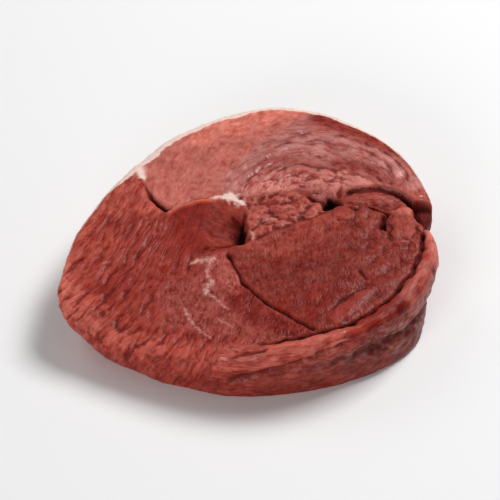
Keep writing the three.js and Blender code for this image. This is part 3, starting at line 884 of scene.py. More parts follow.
def cut_face(share, angle):
    """The top: out along the angle by a share of the rim's radius, up to broad form plus relief, less the
    shoulder. Returns x, y and z, then y on the measured plane, the distance in from the rim, the muscles'
    shares, the relief and the shoulder's drop."""
    rim = rim_radius(angle)
    r = share * rim
    x, y, within = r * np.cos(angle), r * np.sin(angle), rim - r
    broad, drop = broad_height(x, y), shoulder(within, angle)
    v = y + broad - THICKNESS
    shares = muscle_shares(x, v)
    relief = face_relief(x, v, drop, shares) - rim_bundles(x, v, drop, within, angle)
    relief = relief + rim_crest(within, angle)
    return x, y, broad + relief - drop, v, within, shares, relief, drop


top_x, top_y, top_z, top_v, top_edge, top_shares, top_relief, top_depth = cut_face(share, angle)
top_z = np.where(top_z > CEILING - 1, CEILING - np.exp(CEILING - 1 - top_z), top_z)
print("cut face height, mm:", round(float(top_z.min()), 1), "to", round(float(top_z.max()), 1))

# %% [markdown]
# ## The side
# Below the rim the side runs down to the foot in a soft curve. It isn't a plain wall: the strap's outer
# side bulges and carries thin silvery skin, the layers of the front left hang over in slanting folds,
# and the back is covered with lumpy fat. Muscles and fibres run through the slice at a slant, so what the
# rim shows is carried down the side along slanting, wavering lines.

# %% Side rows from rim to foot
SIDE_ROWS_FINE = 14
SIDE_ROWS_COARSE = 8
# mm: the swell halfway down, and the height and depth of the last part that turns under
BELLY = 0.4
TURN_UNDER, TURN_UNDER_DEPTH = 1.6, 1.3
# parts of the side: middle and spread, both in degrees
STRAP_SIDE, BACK = (-45, 42), (85, 62)

ring_angle = ring_of(angle)
ring_x, ring_y, ring_z, ring_v = ring_of(top_x), ring_of(top_y), ring_of(top_z), ring_of(top_v)
ring_depth = ring_of(top_depth)
ring_shares = {name: ring_of(s) for name, s in top_shares.items()}


def carried_down(ring, depth, step):
    """Values of the ring carried down the side along slanting, wavering lines: the deeper a row lies, the
    further on it reads the ring, by half its depth and some noise."""
    spacing = 2 * np.pi * RIM_RADIUS / len(ring_angle)
    places = np.arange(0, len(ring_angle), step)[None, :] + np.zeros(depth.shape, int)
    further = 0.5 * depth + 1.6 * noise(places * spacing / 6, depth / 4, 102) * smoothstep(depth / 2)
    return ring[(places + np.rint(further / spacing).astype(int)) % len(ring_angle)]


# where the strap's upper edge runs down the front: x along the front and height, both in mm
STRAP_ON_SIDE = [(34, 19), (25, 17.4), (16, 15.4), (8, 13.2), (1, 10.8), (-5, 7.4), (-9, 3)]


def strap_step(x, y, z):
    """Where the strap's upper edge runs down the front: it stands out above the line, steps back below
    it, and a narrow crease parts the two."""
    gap, signed, along = from_line(smooth_line(STRAP_ON_SIDE, steps=8), x, z)
    front = tapered(along, 0.1, 0.3) * np.where(y < 0, 1, 0)
    step = np.where(signed > 0, 0.9 * np.exp(-gap / 3.5), -0.2 * np.exp(-gap / 2.5))
    return front * (step - 1.1 * np.exp(-((gap / 0.8) ** 2)))


def skin_relief(a, z, depth):
    """Unevenness of the outside in mm: noise of two sizes all round; over the strap a crease 8 mm down
    and slanting ripples; at the back the lumps of the fat."""
    arc = arc_length(a)
    all_over = 0.3 * noise(arc / 7, z / 8, 71) + 0.15 * noise(arc / 2.4, z / 2.6, 72)
    ripples = 0.35 * noise((arc - 0.6 * z) / 2, (z + 0.3 * arc) / 7, 76)
    over_strap = toward(a, *STRAP_SIDE) * (ripples - 1.1 * np.exp(-(((depth - 8) / 1.8) ** 2)))
    return all_over + over_strap + toward(a, *BACK) * 0.35 * noise(arc / 4, z / 5, 77)


def side_wall(down, step):
    """Rows between rim and foot, down from 0 to 1, at every step-th place of the ring: the radius eases
    from rim to foot, swells a little halfway and carries the folds; the last part turns under. Folds
    stand out by 0.3 mm at most, and fade at the rim and at the foot."""
    a, down = ring_angle[None, ::step], down[:, None]
    x, y, height = ring_x[None, ::step], ring_y[None, ::step], ring_z[None, ::step]
    z = height * (1 - down)
    depth = height - z
    shares = {name: carried_down(s, depth, step) for name, s in ring_shares.items()}
    v, over = ring_v[None, ::step], depth + ring_depth[None, ::step]
    folds = 0.9 * fibre_relief(x, v, over, shares) - rim_bundles(x, v, over, 0 * depth, a)
    folds = folds + strap_step(x, y, z) + skin_relief(a, z, depth)
    folds = np.minimum(folds, 0.3) * smoothstep(down / 0.07) * smoothstep((1 - down) / 0.12)
    low = np.clip((TURN_UNDER - z) / TURN_UNDER, 0, 1)
    turn_under = TURN_UNDER_DEPTH * (1 - np.sqrt(1 - low**2))
    rim, foot = np.hypot(x, y), foot_radius(a)
    r = foot + (rim - foot) * smoothstep(1 - down) + BELLY * np.sin(np.pi * down) + folds - turn_under
    return r * np.cos(a), r * np.sin(a), z, folds


down = np.linspace(0, 1, SIDE_ROWS_FINE + SIDE_ROWS_COARSE + 1) ** 1.1
fine_x, fine_y, fine_z, fine_folds = side_wall(down[1 : SIDE_ROWS_FINE + 1], 1)
coarse_x, coarse_y, coarse_z, coarse_folds = side_wall(down[SIDE_ROWS_FINE + 1 :], 2)
print("side rows:", fine_x.shape, coarse_x.shape)

# %% [markdown]
# ## The underside
# The other cut face lies flat on the board. The same seams run right through the slice, so they show
# there too, as shallow grooves over the board. Bundles leave small dents between them.

# %% Underside
low_share, low_angle = square_to_outline(CELLS // 2)
foot_angle, foot_r = ring_angle[::2] % (2 * np.pi), np.hypot(coarse_x[-1], coarse_y[-1])
by_angle = np.argsort(foot_angle)
low_rim = np.interp(low_angle, foot_angle[by_angle], foot_r[by_angle], period=2 * np.pi)
low_r = low_share * low_rim
low_x, low_y = low_r * np.cos(low_angle), low_r * np.sin(low_angle)
low_shares = muscle_shares(low_x, low_y)
low_seams = np.clip(-seam_relief(*bent(low_x, low_y)) - 0.4, 0, 1.6)
low_texture = np.clip(-0.2 - fibre_relief(low_x, low_y, 0, low_shares), 0, 0.5)
low_z = (low_seams + low_texture) * smoothstep((1 - low_share) / 0.03)
print("underside grooves up to", round(float(low_z.max()), 2), "mm deep")

# %% [markdown]
# ## Sewing the grids into one mesh
# The top's outer ring is the first row of the side, and the underside's outer ring is its last. Where
# the side changes from fine rows to coarse ones, one row of three triangles to each coarse cell joins
# them. The mesh is closed without any merging, and faces run anticlockwise seen from outside.

# %% One closed mesh
# points along one side of the top's grid and of the underside's, and in the top's outer ring
TOP_SIDE, LOW_SIDE, RING = CELLS + 1, CELLS // 2 + 1, 4 * CELLS
start_fine = TOP_SIDE**2
start_coarse = start_fine + SIDE_ROWS_FINE * RING
start_low = start_coarse + (SIDE_ROWS_COARSE - 1) * RING // 2
top_index = np.arange(TOP_SIDE**2).reshape(TOP_SIDE, TOP_SIDE)
low_index = start_low + np.arange(LOW_SIDE**2).reshape(LOW_SIDE, LOW_SIDE)
fine_rows = np.vstack([ring_of(top_index), start_fine + np.arange(SIDE_ROWS_FINE * RING).reshape(-1, RING)])
coarse_rows = start_coarse + np.arange((SIDE_ROWS_COARSE - 1) * RING // 2).reshape(-1, RING // 2)
coarse_rows = np.vstack([coarse_rows, ring_of(low_index)])


def grid_faces(index):
    """Four corners for each cell of a grid of point numbers."""
    return np.stack([index[:-1, :-1], index[:-1, 1:], index[1:, 1:], index[1:, :-1]], -1).reshape(-1, 4)


def wall_faces(rows):
    """Four corners for each cell between closed rows of point numbers."""
    after = np.roll(rows, -1, axis=1)
    return np.stack([rows[:-1], rows[1:], after[1:], after[:-1]], -1).reshape(-1, 4)


def joining_faces(upper, lower):
    """Three triangles for each coarse cell, between a row of 2n points and a row of n points."""
    a, b, c = upper[::2], upper[1::2], np.roll(upper[::2], -1)
    d, e = lower, np.roll(lower, -1)
    return np.vstack([np.stack(t, -1) for t in ((a, d, b), (b, d, e), (b, e, c))])


def everywhere(top, fine, coarse, low):
    """Joins values of the top, the side's rows and the underside in the mesh's order: one value for each
    point, or a row of them where the grids have a third axis."""
    return np.concatenate([grid.reshape(-1, *grid.shape[2:]) for grid in (top, fine, coarse[:-1], low)])


places = everywhere(
    np.stack([top_x, top_y, top_z], -1),
    np.stack([fine_x, fine_y, fine_z], -1),
    np.stack([coarse_x, coarse_y, coarse_z], -1),
    np.stack([low_x, low_y, low_z], -1),
)
quads = np.vstack(
    [grid_faces(top_index), wall_faces(fine_rows), wall_faces(coarse_rows), grid_faces(low_index)[:, ::-1]]
)
triangles = joining_faces(fine_rows[-1], coarse_rows[0])
mesh = bpy.data.meshes.new("lamb_leg_steak")
mesh.from_pydata(places * MM, [], quads.tolist() + triangles.tolist())
mesh.polygons.foreach_set("use_smooth", np.ones(len(mesh.polygons), bool))
mesh.update()
steak = bpy.data.objects.new("lamb_leg_steak", mesh)
bpy.context.collection.objects.link(steak)
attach(steak, "root")
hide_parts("steak")
print("steak:", len(places), "points,", 2 * len(quads) + len(triangles), "triangles")

# %% [markdown]
# ## Tone of the side
# The outside of the leg was covered by membrane: pale and fatty at the back, and thin over the strap. Its
# tone is darkened there as painted shade, and the front is lightened as painted light where it lies in
# shade. The tone of the cut face fades into it over the first few millimetres. The front left rim has a
# painted highlight along its hem, towards the foot the front is darker as painted shade, and the silver
# skin over the strap carries painted sheen. Each of these is a tone blended in by the direction from the
# middle and the depth.

# %% Side tones: direction in degrees, and tone
# tones for membrane and fat, with painted shade darkening -50 and -15 and painted light lifting -95
SIDE_TONES_AND_PAINTED_LIGHT = {
    -152: (206, 100, 85), -128: (182, 44, 31), -95: (208, 81, 67), -50: (130, 46, 37), -15: (116, 41, 33),
    30: (176, 104, 94), 85: (208, 142, 126), 140: (204, 134, 118), 190: (158, 72, 62),
}
# painted highlight along the front left rim's hem, and its palest end at the far left
HEM_HIGHLIGHT_TONE, HEM_HIGHLIGHT_TONE_LEFT = (204, 88, 73), (226, 122, 106)
# silver skin, its streaks partly painted sheen
SILVER_SKIN_AND_SHEEN = (176, 124, 118)
# middle and spread in degrees: the hem's painted highlight and its palest end, the foot's painted shade,
# and the silver skin with its painted sheen
HEM_HIGHLIGHT, HEM_HIGHLIGHT_LEFT, FOOT_SHADE, SILVER_AND_SHEEN = (-130, 42), (-154, 24), (-94, 66), (-34, 30)
# mm over which the rim's tone fades into the side's, and what two parts of the rim add to that
FADE, LONGER_FADES = 3, ((2, (-60, 60)), (1.5, (-135, 40)))


def screen_to_light(rgb):
    """Screen colour 0 to 255 to the amount of light 0 to 1, by the sRGB curve."""
    c = np.asarray(rgb, float) / 255
    return np.where(c <= 0.04045, c / 12.92, ((c + 0.055) / 1.055) ** 2.4)


def face_tone(shares, x, y):
    """Each muscle's tone by its share, with soft clouds of two sizes over them."""
    cloud = noise(x / 6, y / 5, 95) + 0.6 * noise(x / 2.6, y / 2.2, 96)
    tone = sum(shares[m][..., None] * screen_to_light(TONE_OF[m]) for m in MUSCLES)
    return (1 + 0.16 * cloud[..., None]) * tone


def with_painted_hem_highlight(tone, angle, beyond):
    """A painted highlight along the hem of the front left rim: a bell over the mm beyond the rim,
    highest just inside it."""
    uneven = 1 + 0.7 * noise(arc_length(angle) / 4, beyond / 2.5, 97)
    hem_highlight = (0.36 * uneven * toward(angle, *HEM_HIGHLIGHT) * bell(beyond, 0, (-0.8, 0), (2.2, 1)))[..., None]
    left = toward(angle, *HEM_HIGHLIGHT_LEFT)[..., None]
    painted_hem_tone = screen_to_light(HEM_HIGHLIGHT_TONE) * (1 - left) + screen_to_light(HEM_HIGHLIGHT_TONE_LEFT) * left
    return tone * (1 - hem_highlight) + painted_hem_tone * hem_highlight


def side_tone(angle, z, depth, rim_tone):
    """The listed tones, with their painted light, blended round the side by how nearly each faces the
    point, mottled; the tone of the rim laid over the first millimetres; the hem's painted highlight;
    the foot's painted shade, which starts 1.5 mm down; and slanting streaks of silver skin with painted
    sheen over the strap, most of them 7 mm down."""
    weight = {spot: np.exp(4 * np.cos(angle - math.radians(spot))) for spot in SIDE_TONES_AND_PAINTED_LIGHT}
    total = sum(weight.values())
    tone = sum(weight[s][..., None] * screen_to_light(SIDE_TONES_AND_PAINTED_LIGHT[s]) for s in SIDE_TONES_AND_PAINTED_LIGHT) / total[..., None]
    arc = arc_length(angle)
    mottle = noise(arc / 8, z / 6, 91) + 0.6 * noise(arc / 3, z / 3, 92)
    reach = sum((more * toward(angle, *part) for more, part in LONGER_FADES), start=FADE)
    keep = np.exp(-((depth / reach) ** 2))[..., None]
    tone = tone * (1 + 0.16 * mottle[..., None]) * (1 - keep) + rim_tone * keep
    tone = with_painted_hem_highlight(tone, angle, depth)
    # painted shade: the front darkens towards the foot
    tone = tone * (1 - 0.5 * toward(angle, *FOOT_SHADE) * smoothstep((depth - 1.5) / 6))[..., None]
    # slanting streaks of silver skin that also carry painted sheen
    streak = np.clip(1 - 3.5 * abs(noise((arc - 1.2 * z) / 9, (z + 0.35 * arc) / 1.7, 101)), 0, 1)
    silver_and_sheen = (0.75 * streak * toward(angle, *SILVER_AND_SHEEN) * bell(depth, 0, (7, 0), (4, 1)))[..., None]
    return tone * (1 - silver_and_sheen) + screen_to_light(SILVER_SKIN_AND_SHEEN) * silver_and_sheen


# %% [markdown]
# ## Cavities
# Creases are painted darker and redder, as painted shade on top of the shade that the lights give, and
# crests paler, as a painted highlight; the deepest places are painted almost black. How deep a point
# lies under the mean height around it tells one from the other.

# %% Height against its surroundings
def blurred(grid, cells):
    """Mean of a grid over a square of 2 cells + 1 each way, twice, from sums that are taken only once."""
    for _ in range(2):
        for axis in (0, 1):
            pad = [(0, 0), (0, 0)]
            pad[axis] = (cells + 1, cells)
            total = np.cumsum(np.pad(grid, pad, mode="edge"), axis=axis)
            ahead = np.take(total, range(2 * cells + 1, total.shape[axis]), axis=axis)
            behind = np.take(total, range(0, total.shape[axis] - 2 * cells - 1), axis=axis)
            grid = (ahead - behind) / (2 * cells + 1)
    return grid


def cavity_of(grid, scale):
    """From -1 on crests to 1 in creases: mean height around, less the height, at two sizes. Places more
    than 1.1 mm deep go on from 1 to 2."""
    near, wide = blurred(grid, 2) - grid, blurred(grid, 7) - grid
    return np.clip(scale * (3 * near + 0.85 * wide), -1, 1) + np.clip((wide - 1.1) / 1.4, 0, 1)


# steep walls and the pit count as deeper, for more painted shade; the flap's end face is kept from black
rise_u, rise_v = np.gradient(top_relief, CELL)
steep = np.clip((np.hypot(rise_u, rise_v) - 0.9) / 1.4, 0, 0.4)
top_cavity = cavity_of(top_relief, 1.0) + steep + np.clip(pit_depth(top_x, top_v, top_shares) / 2, 0, 1)
top_cavity = np.minimum(top_cavity, 2 - 1.5 * top_shares["back right, end face in painted shade"])
low_cavity = cavity_of(-low_z, 0.8)
fine_cavity, coarse_cavity = (np.clip(-f, -1, 1) for f in (fine_folds, coarse_folds))
print("creased share of the face:", round(float((top_cavity > 0.5).mean()), 3))

# %% [markdown]
# ## Handing it to the mesh
# Each point gets its tone, its place on the fibres, how near fat is, how dull or wet it is, and how deep
# it lies in a crease. A finish can then be drawn from them on all sides of the slice, without a seam.

# %% Point attributes
# muscles without a shine, and those that stand wet; the side is a little wet all round
DULL = ("hollow", "hollow, left", "hollow, lip with painted light", "back right, end face in painted shade")
WET = (
    "back right, band of painted sheen", "back right, upper", "back right, outer", "back right", "back right, flap",
    "strap",
)
SIDE_WET = 0.3
# patches of fat on the outside: middle and spread in degrees
FAT_SIDE = (90, 62)


def give(name, kind, values):
    """Stores one value per point in the mesh, in the kind that the finish reads."""
    layer = mesh.attributes.new(name, kind, "POINT")
    field = {"FLOAT": "value", "FLOAT_COLOR": "color", "FLOAT_VECTOR": "vector"}[kind]
    layer.data.foreach_set(field, np.ravel(values))


def fibre_values(x, y, depth, shares):
    """Across, along and grain: the place on the fibres of the lie with the largest share, moved well
    apart for each lie; grain is 0 where the two largest shares are equal, and less on smooth muscles."""
    totals = np.stack([sum(shares[m] for m in MUSCLES if LIE_OF[m] == lie) for lie in LIES])
    largest = totals.argmax(0)
    ordered = np.sort(totals, axis=0)
    spots = [fibre_place(lie, x, y, depth) for lie in LIES]
    across = np.choose(largest, [np.broadcast_to(s[0], x.shape) for s in spots]) + 97.0 * largest
    along = np.choose(largest, [np.broadcast_to(s[1], x.shape) for s in spots])
    shown = sum(shares[m] * CUT_OF[m].get("grain", 1) for m in MUSCLES)
    return np.stack([across, along, shown * smoothstep((ordered[-1] - ordered[-2]) / 0.3)], -1)


def side_fibres(z, step):
    """The same for rows of the side."""
    here = lambda ring: np.broadcast_to(ring[None, ::step], z.shape)
    shares = {name: carried_down(s, here(ring_z) - z, step) for name, s in ring_shares.items()}
    return fibre_values(here(ring_x), here(ring_v), here(ring_z + ring_depth) - z, shares)


def side_values(x, z, step, a):
    """Tone and fat for rows of the side: the rim of fat with a ragged lower edge, and patches of fat over
    the back."""
    a = np.broadcast_to(a, x.shape)
    arc, depth = arc_length(a), ring_z[None, ::step] - z
    rim_tone = carried_down(face_tone(ring_shares, ring_x, ring_v), depth, step)
    patches = 0.66 * toward(a, *FAT_SIDE) * (1 + 0.45 * noise(arc / 6, z / 4, 93))
    wander = 3.2 * noise(arc / 7, z / 6, 99) + 1.1 * noise(arc / 2, z / 2, 100)
    rim = rim_nearness(a, 1.3 * depth + wander * smoothstep(depth / 1.5))
    return side_tone(a, z, depth, rim_tone), np.maximum(rim, patches)


def share_of(names, shares):
    """What several muscles have together at each point."""
    return sum(shares[m] for m in names)


fine_tone, fine_fat = side_values(fine_x, fine_z, 1, ring_angle[None, :])
coarse_tone, coarse_fat = side_values(coarse_x, coarse_z, 2, ring_angle[None, ::2])
# the edge of the face gets the hem's painted highlight too
top_tone = with_painted_hem_highlight(face_tone(top_shares, top_x, top_v), angle, -top_edge)
tone = everywhere(top_tone, fine_tone, coarse_tone, face_tone(low_shares, low_x, low_y))
top_fat = np.maximum(fat_nearness(*bent(top_x, top_v)), rim_nearness(angle, top_edge))
low_fat = np.maximum(fat_nearness(*bent(low_x, low_y)), rim_nearness(low_angle, low_rim - low_r))
fibres = everywhere(
    fibre_values(top_x, top_v, top_depth, top_shares),
    side_fibres(fine_z, 1),
    side_fibres(coarse_z, 2),
    fibre_values(low_x, low_y, np.zeros(low_x.shape), low_shares),
)
no_fine, no_coarse = 0 * fine_x, 0 * coarse_x
dull = everywhere(share_of(DULL, top_shares), no_fine, no_coarse, share_of(DULL, low_shares))
wet = everywhere(
    share_of(WET, top_shares), no_fine + SIDE_WET, no_coarse + SIDE_WET, share_of(WET, low_shares)
)
give("tone", "FLOAT_COLOR", np.hstack([tone, np.ones((len(tone), 1))]))
give("fibres", "FLOAT_VECTOR", fibres)
give("fat", "FLOAT", everywhere(top_fat, fine_fat, coarse_fat, low_fat))
give("dull", "FLOAT", dull)
give("wet", "FLOAT", wet)
give("cavity", "FLOAT", everywhere(top_cavity, fine_cavity, coarse_cavity, low_cavity))
print("tone from", tone.min(0).round(3), "to", tone.max(0).round(3))

# %% [markdown]
# ## The finish of raw lean meat
# Lean meat is thousands of fibre bundles, each about a millimetre across, wrapped in a paler web. The web
# and the single fibres are finer than the mesh, so they are drawn by textures in millimetres. One group
# makes them and is used twice, for bundles and for the fibres within.

# %% Node helpers
def add(tree, kind, inputs=None, **settings):
    """A new node with its plain settings, and its inputs by name or number: a socket or a value."""
    n = tree.nodes.new(kind)
    for key, value in settings.items():
        setattr(n, key, value)
    for key, value in (inputs or {}).items():
        if isinstance(value, bpy.types.NodeSocket):
            tree.links.new(value, n.inputs[key])
        else:
            n.inputs[key].default_value = value
    return n


def sums(tree, operation, a, b):
    """One Math node."""
    return add(tree, "ShaderNodeMath", {0: a, 1: b}, operation=operation).outputs[0]


def scaled(tree, place, size):
    """A place counted in steps of the given size."""
    return add(tree, "ShaderNodeVectorMath", {0: place, "Scale": 1 / size}, operation="SCALE").outputs[0]


def noise_texture(tree, place, scale, detail, roughness):
    """The outputs of one noise texture."""
    settings = {"Vector": place, "Scale": scale, "Detail": detail, "Roughness": roughness}
    return add(tree, "ShaderNodeTexNoise", settings).outputs


def blend(tree, share, a, b, mode="MIX"):
    """One colour Mix node: a where share is 0, b where it is 1."""
    return add(tree, "ShaderNodeMix", {0: share, 6: a, 7: b}, data_type="RGBA", blend_type=mode).outputs[2]


def ramp(tree, value, low, high, out_low=0.0, out_high=1.0):
    """Maps a value smoothly from one range to another, held at both ends."""
    ends = {0: value, 1: low, 2: high, 3: out_low, 4: out_high}
    return add(tree, "ShaderNodeMapRange", ends, interpolation_type="SMOOTHSTEP").outputs[0]


def new_group(name, inputs, outputs):
    """An empty node group with its sockets, its input sockets by name, and its output node."""
    g = bpy.data.node_groups.new(name, "ShaderNodeTree")
    for way, sockets in (("INPUT", inputs), ("OUTPUT", outputs)):
        for label, kind in sockets:
            g.interface.new_socket(label, in_out=way, socket_type="NodeSocket" + kind)
    return g, add(g, "NodeGroupInput").outputs, add(g, "NodeGroupOutput").inputs


# %% Fibre bundles, as a node group
def fibre_bundles():
    """Group: bends the place by noise, then takes the distance to the nearest cell wall of a Voronoi
    pattern as the web. Height is high in the middle of a cell, with noise over it."""
    taken = [("Place", "Vector"), ("Bend", "Float")]
    made = [("Web", "Float"), ("Height", "Float"), ("Shade", "Float")]
    g, given, out = new_group("fibre_bundles", taken, made)
    warp = noise_texture(g, given["Place"], 0.6, 2.0, 0.5)["Color"]
    pull = {0: warp, 1: given["Bend"], 2: given["Place"]}
    place = add(g, "ShaderNodeVectorMath", pull, operation="MULTIPLY_ADD").outputs[0]
    cells = add(g, "ShaderNodeTexVoronoi", {"Vector": place, "Scale": 1.0}, feature="DISTANCE_TO_EDGE")
    to_wall = cells.outputs["Distance"]
    tint = noise_texture(g, place, 1.1, 2.0, 0.5)["Fac"]
    g.links.new(ramp(g, to_wall, 0.0, 0.12, 1.0, 0.0), out["Web"])
    dome = ramp(g, to_wall, 0.0, 0.3, 0.0, 0.5)
    g.links.new(sums(g, "ADD", dome, tint), out["Height"])
    g.links.new(tint, out["Shade"])
    return g


bundle_group = fibre_bundles()
print("bundles:", len(bundle_group.nodes), "nodes")

# %% What the finish reads
meat = bpy.data.materials.new("raw_lean_lamb")
meat.use_nodes = True
tree = meat.node_tree
shader = tree.nodes["Principled BSDF"]


def stored(name, socket):
    """One attribute of the mesh."""
    return add(tree, "ShaderNodeAttribute", attribute_name=name).outputs[socket]


def bundles_here(place, size, bend):
    """The group's outputs for bundles of a size in mm, bent by noise."""
    given = {"Place": scaled(tree, place, size), "Bend": bend}
    return add(tree, "ShaderNodeGroup", given, node_tree=bundle_group).outputs


tone_here, fat_here, cavity_here = stored("tone", "Color"), stored("fat", "Fac"), stored("cavity", "Fac")
in_mm = scaled(tree, add(tree, "ShaderNodeTexCoord").outputs["Object"], MM)
parts = add(tree, "ShaderNodeSeparateXYZ", {0: stored("fibres", "Vector")}).outputs
fibres_here = add(tree, "ShaderNodeCombineXYZ", {0: parts[0], 1: parts[1]}).outputs[0]
grain = parts[2]

# sizes in mm of bundles and of the fibres within, and how much each is bent
BUNDLE_LOOK, FIBRE_LOOK = (2.2, 0.9), (0.95, 0.6)
coarse, fine = bundles_here(in_mm, *BUNDLE_LOOK), bundles_here(fibres_here, *FIBRE_LOOK)
patchy = noise_texture(tree, in_mm, 0.16, 3.0, 0.6)["Fac"]
ragged = noise_texture(tree, in_mm, 0.9, 4.0, 0.6)["Fac"]
fleck = noise_texture(tree, in_mm, 1.6, 2.0, 0.5)["Fac"]
# streaks to the mm across the fibres, and along them, where a mm is already drawn out
STREAKS = (0.34, 0.6, 1)
stretch = add(tree, "ShaderNodeVectorMath", {0: fibres_here, 1: STREAKS}, operation="MULTIPLY").outputs[0]
streaks = noise_texture(tree, stretch, 1.0, 3.0, 0.5)["Fac"]

# %% Lean meat
# factors on the muscle's tone, for red, green and blue
DARK, LIGHT, WEB = (0.72, 0.38, 0.34, 1), (1.20, 1.60, 1.62, 1), (1.7, 2.2, 2.2, 1)
# painted highlight on crests and painted shade in creases, as factors on the tone
CREST_HIGHLIGHT, CREASE_SHADE = (1.4, 1.8, 1.8, 1), (0.34, 0.12, 0.10, 1)
FLECK = (0.58, 0.30, 0.26, 1)
# what bundles, fibres and streaks add to the shade; it is dark below 0.4 and light above 0.6
SHADE = ((coarse["Shade"], 0.26), (fine["Shade"], 0.42), (streaks, 0.32))


def plus(a, b):
    return sums(tree, "ADD", a, b)


def times(a, b):
    return sums(tree, "MULTIPLY", a, b)


def from_middle(a):
    """A noise value less its mean."""
    return sums(tree, "SUBTRACT", a, 0.5)


def tinted(factors):
    """The muscle's own tone times a factor for each colour."""
    return blend(tree, 1.0, tone_here, factors, "MULTIPLY")


of_bundles, of_fibres, of_streaks = (times(noise_value, amount) for noise_value, amount in SHADE)
shade = plus(times(from_middle(plus(plus(of_bundles, of_fibres), of_streaks)), grain), 0.5)
lean = blend(tree, ramp(tree, shade, 0.4, 0.6), tinted(DARK), tinted(LIGHT))
web = times(fine["Web"], times(grain, ramp(tree, patchy, 0.38, 0.66, 0.1, 0.42)))
lean = blend(tree, web, lean, tinted(WEB))
# crests paler: painted highlight
lean = blend(tree, ramp(tree, cavity_here, 0.0, -0.9, 0.0, 0.42), lean, tinted(CREST_HIGHLIGHT))
# creases darker and redder: painted shade
lean = blend(tree, ramp(tree, cavity_here, 0.1, 1.0, 0.0, 0.8), lean, tinted(CREASE_SHADE))
lean = blend(tree, ramp(tree, fleck, 0.66, 0.74, 0.0, 0.25), lean, FLECK)
print("lean meat:", len(tree.nodes), "nodes so far")

# %% [markdown]
# ## Fat over the lean
# Fat is drawn where its nearness plus some noise is high enough, which gives it a ragged edge finer than
# the mesh. Thin fat is pink, because the lean shows through it; thick fat is cream, with duller patches.
# The deepest places are painted almost black whatever lies there, as painted shade.

# %% Fat, and painted shade in the deepest places
FAT_THIN, FAT_THICK, FAT_PATCH = (0.62, 0.33, 0.29, 1), (0.90, 0.70, 0.61, 1), (0.76, 0.46, 0.39, 1)
# painted shade: the colour of the deepest places
DEEP_SHADE = (0.02, 0.004, 0.003, 1)
fat_edge = plus(fat_here, times(from_middle(ragged), 0.8))
fat_colour = blend(tree, ramp(tree, fat_here, 0.55, 0.85), FAT_THIN, FAT_THICK)
fat_colour = blend(tree, ramp(tree, ragged, 0.42, 0.7, 0.0, 0.45), fat_colour, FAT_PATCH)
colour = blend(tree, ramp(tree, fat_edge, 0.3, 0.8, 0.0, 0.92), lean, fat_colour)
# the deepest places are painted near black: painted shade
colour = blend(tree, ramp(tree, cavity_here, 1.0, 1.8), colour, DEEP_SHADE)
tree.links.new(colour, shader.inputs["Base Color"])

# %% [markdown]
# ## Wet film and fine relief
# Raw meat soaks up most of its juice and is then only softly shiny, less so in creases and in the hollow.
# A film that glints stays in ragged patches on the muscles at the back and on the strap. It is a coat,
# a second shine with its own roughness, so the meat below keeps its own. The fine relief of bundles and
# fibres is a bump, because it is finer than the mesh.

# %% Wet film and fine relief
roughness = plus(ramp(tree, patchy, 0.35, 0.65, 0.33, 0.42), ramp(tree, cavity_here, 0.4, 1.5, 0.0, 0.6))
roughness = plus(roughness, ramp(tree, stored("dull", "Fac"), 0.2, 0.9, 0.0, 0.3))
tree.links.new(roughness, shader.inputs["Roughness"])
film = times(ramp(tree, ragged, 0.46, 0.62), ramp(tree, stored("wet", "Fac"), 0.1, 1.0, 0.0, 0.7))
tree.links.new(film, shader.inputs["Coat Weight"])
shader.inputs["Coat Roughness"].default_value = 0.26
height = plus(times(coarse["Height"], 0.2), times(fine["Height"], grain))
bump = add(tree, "ShaderNodeBump", {"Height": height, "Strength": 0.38, "Distance": 0.3 * MM})
tree.links.new(bump.outputs[0], shader.inputs["Normal"])
shader.inputs["Specular IOR Level"].default_value = 0.12
# light goes a little way into the meat, red furthest
shader.inputs["Subsurface Weight"].default_value = 0.2
shader.inputs["Subsurface Radius"].default_value = (1.0, 0.25, 0.15)
shader.inputs["Subsurface Scale"].default_value = 2.5 * MM
mesh.materials.append(meat)
print("finish:", len(tree.nodes), "nodes")

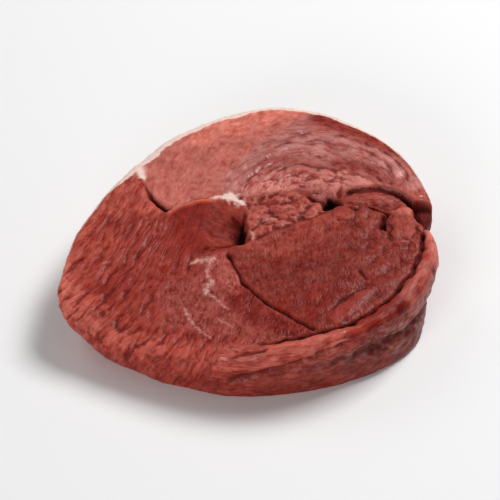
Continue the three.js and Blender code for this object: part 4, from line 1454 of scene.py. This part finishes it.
# %% [markdown]
# ## Floor, light and camera
# The floor is plain and pale. The key light stands above, behind and to the right, and is nearly half a
# metre wide, so that wet meat shines towards the camera and creases keep their shade. A weak light from
# behind on the left softens its shadows, and a low one in front opens up the side. The camera looks down
# at 45 degrees, which is how the cut face is seen in the photograph.

# %% Floor
floor_mesh = bpy.data.meshes.new("floor")
floor_mesh.from_pydata([(-4, -4, 0), (4, -4, 0), (4, 4, 0), (-4, 4, 0)], [], [(0, 1, 2, 3)])
floor = bpy.data.objects.new("floor", floor_mesh)
bpy.context.collection.objects.link(floor)
pale = bpy.data.materials.new("pale_floor")
pale.use_nodes = True
pale.node_tree.nodes["Principled BSDF"].inputs["Base Color"].default_value = (0.88, 0.88, 0.88, 1)
pale.node_tree.nodes["Principled BSDF"].inputs["Roughness"].default_value = 0.7
floor_mesh.materials.append(pale)


# %% Light
def soft_light(name, place, size, watts, aim=(0, 0, 0.01)):
    """A square light of a size in metres, turned towards the slice."""
    lamp = bpy.data.lights.new(name, "AREA")
    lamp.size, lamp.energy = size, watts
    holder = bpy.data.objects.new(name, lamp)
    holder.location = place
    holder.rotation_euler = (Vector(aim) - Vector(place)).to_track_quat("-Z", "Y").to_euler()
    bpy.context.collection.objects.link(holder)


soft_light("key", (0.5, 0.42, 0.85), 0.45, 10.3)
soft_light("second", (-0.55, 0.45, 0.7), 0.5, 1.2)
soft_light("fill", (-0.35, -0.8, 0.25), 0.5, 4.3)
world = bpy.data.worlds.new("studio")
bpy.context.scene.world = world
world.use_nodes = True
world.node_tree.nodes["Background"].inputs[0].default_value = (1, 1, 1, 1)
world.node_tree.nodes["Background"].inputs[1].default_value = 0.14
bpy.context.scene.view_settings.view_transform = "Standard"
print("lights:", len(bpy.data.lights))

# %% Camera
ELEVATION = math.radians(45)
DISTANCE = 1.045
AIM = Vector((0.0005, -0.0008, 0.0105))
camera_data = bpy.data.cameras.new("camera")
camera_data.lens = 240
camera = bpy.data.objects.new("camera", camera_data)
camera.location = AIM + DISTANCE * Vector((0, -math.cos(ELEVATION), math.sin(ELEVATION)))
camera.rotation_euler = (math.pi / 2 - ELEVATION, 0, 0)
bpy.context.collection.objects.link(camera)
bpy.context.scene.camera = camera
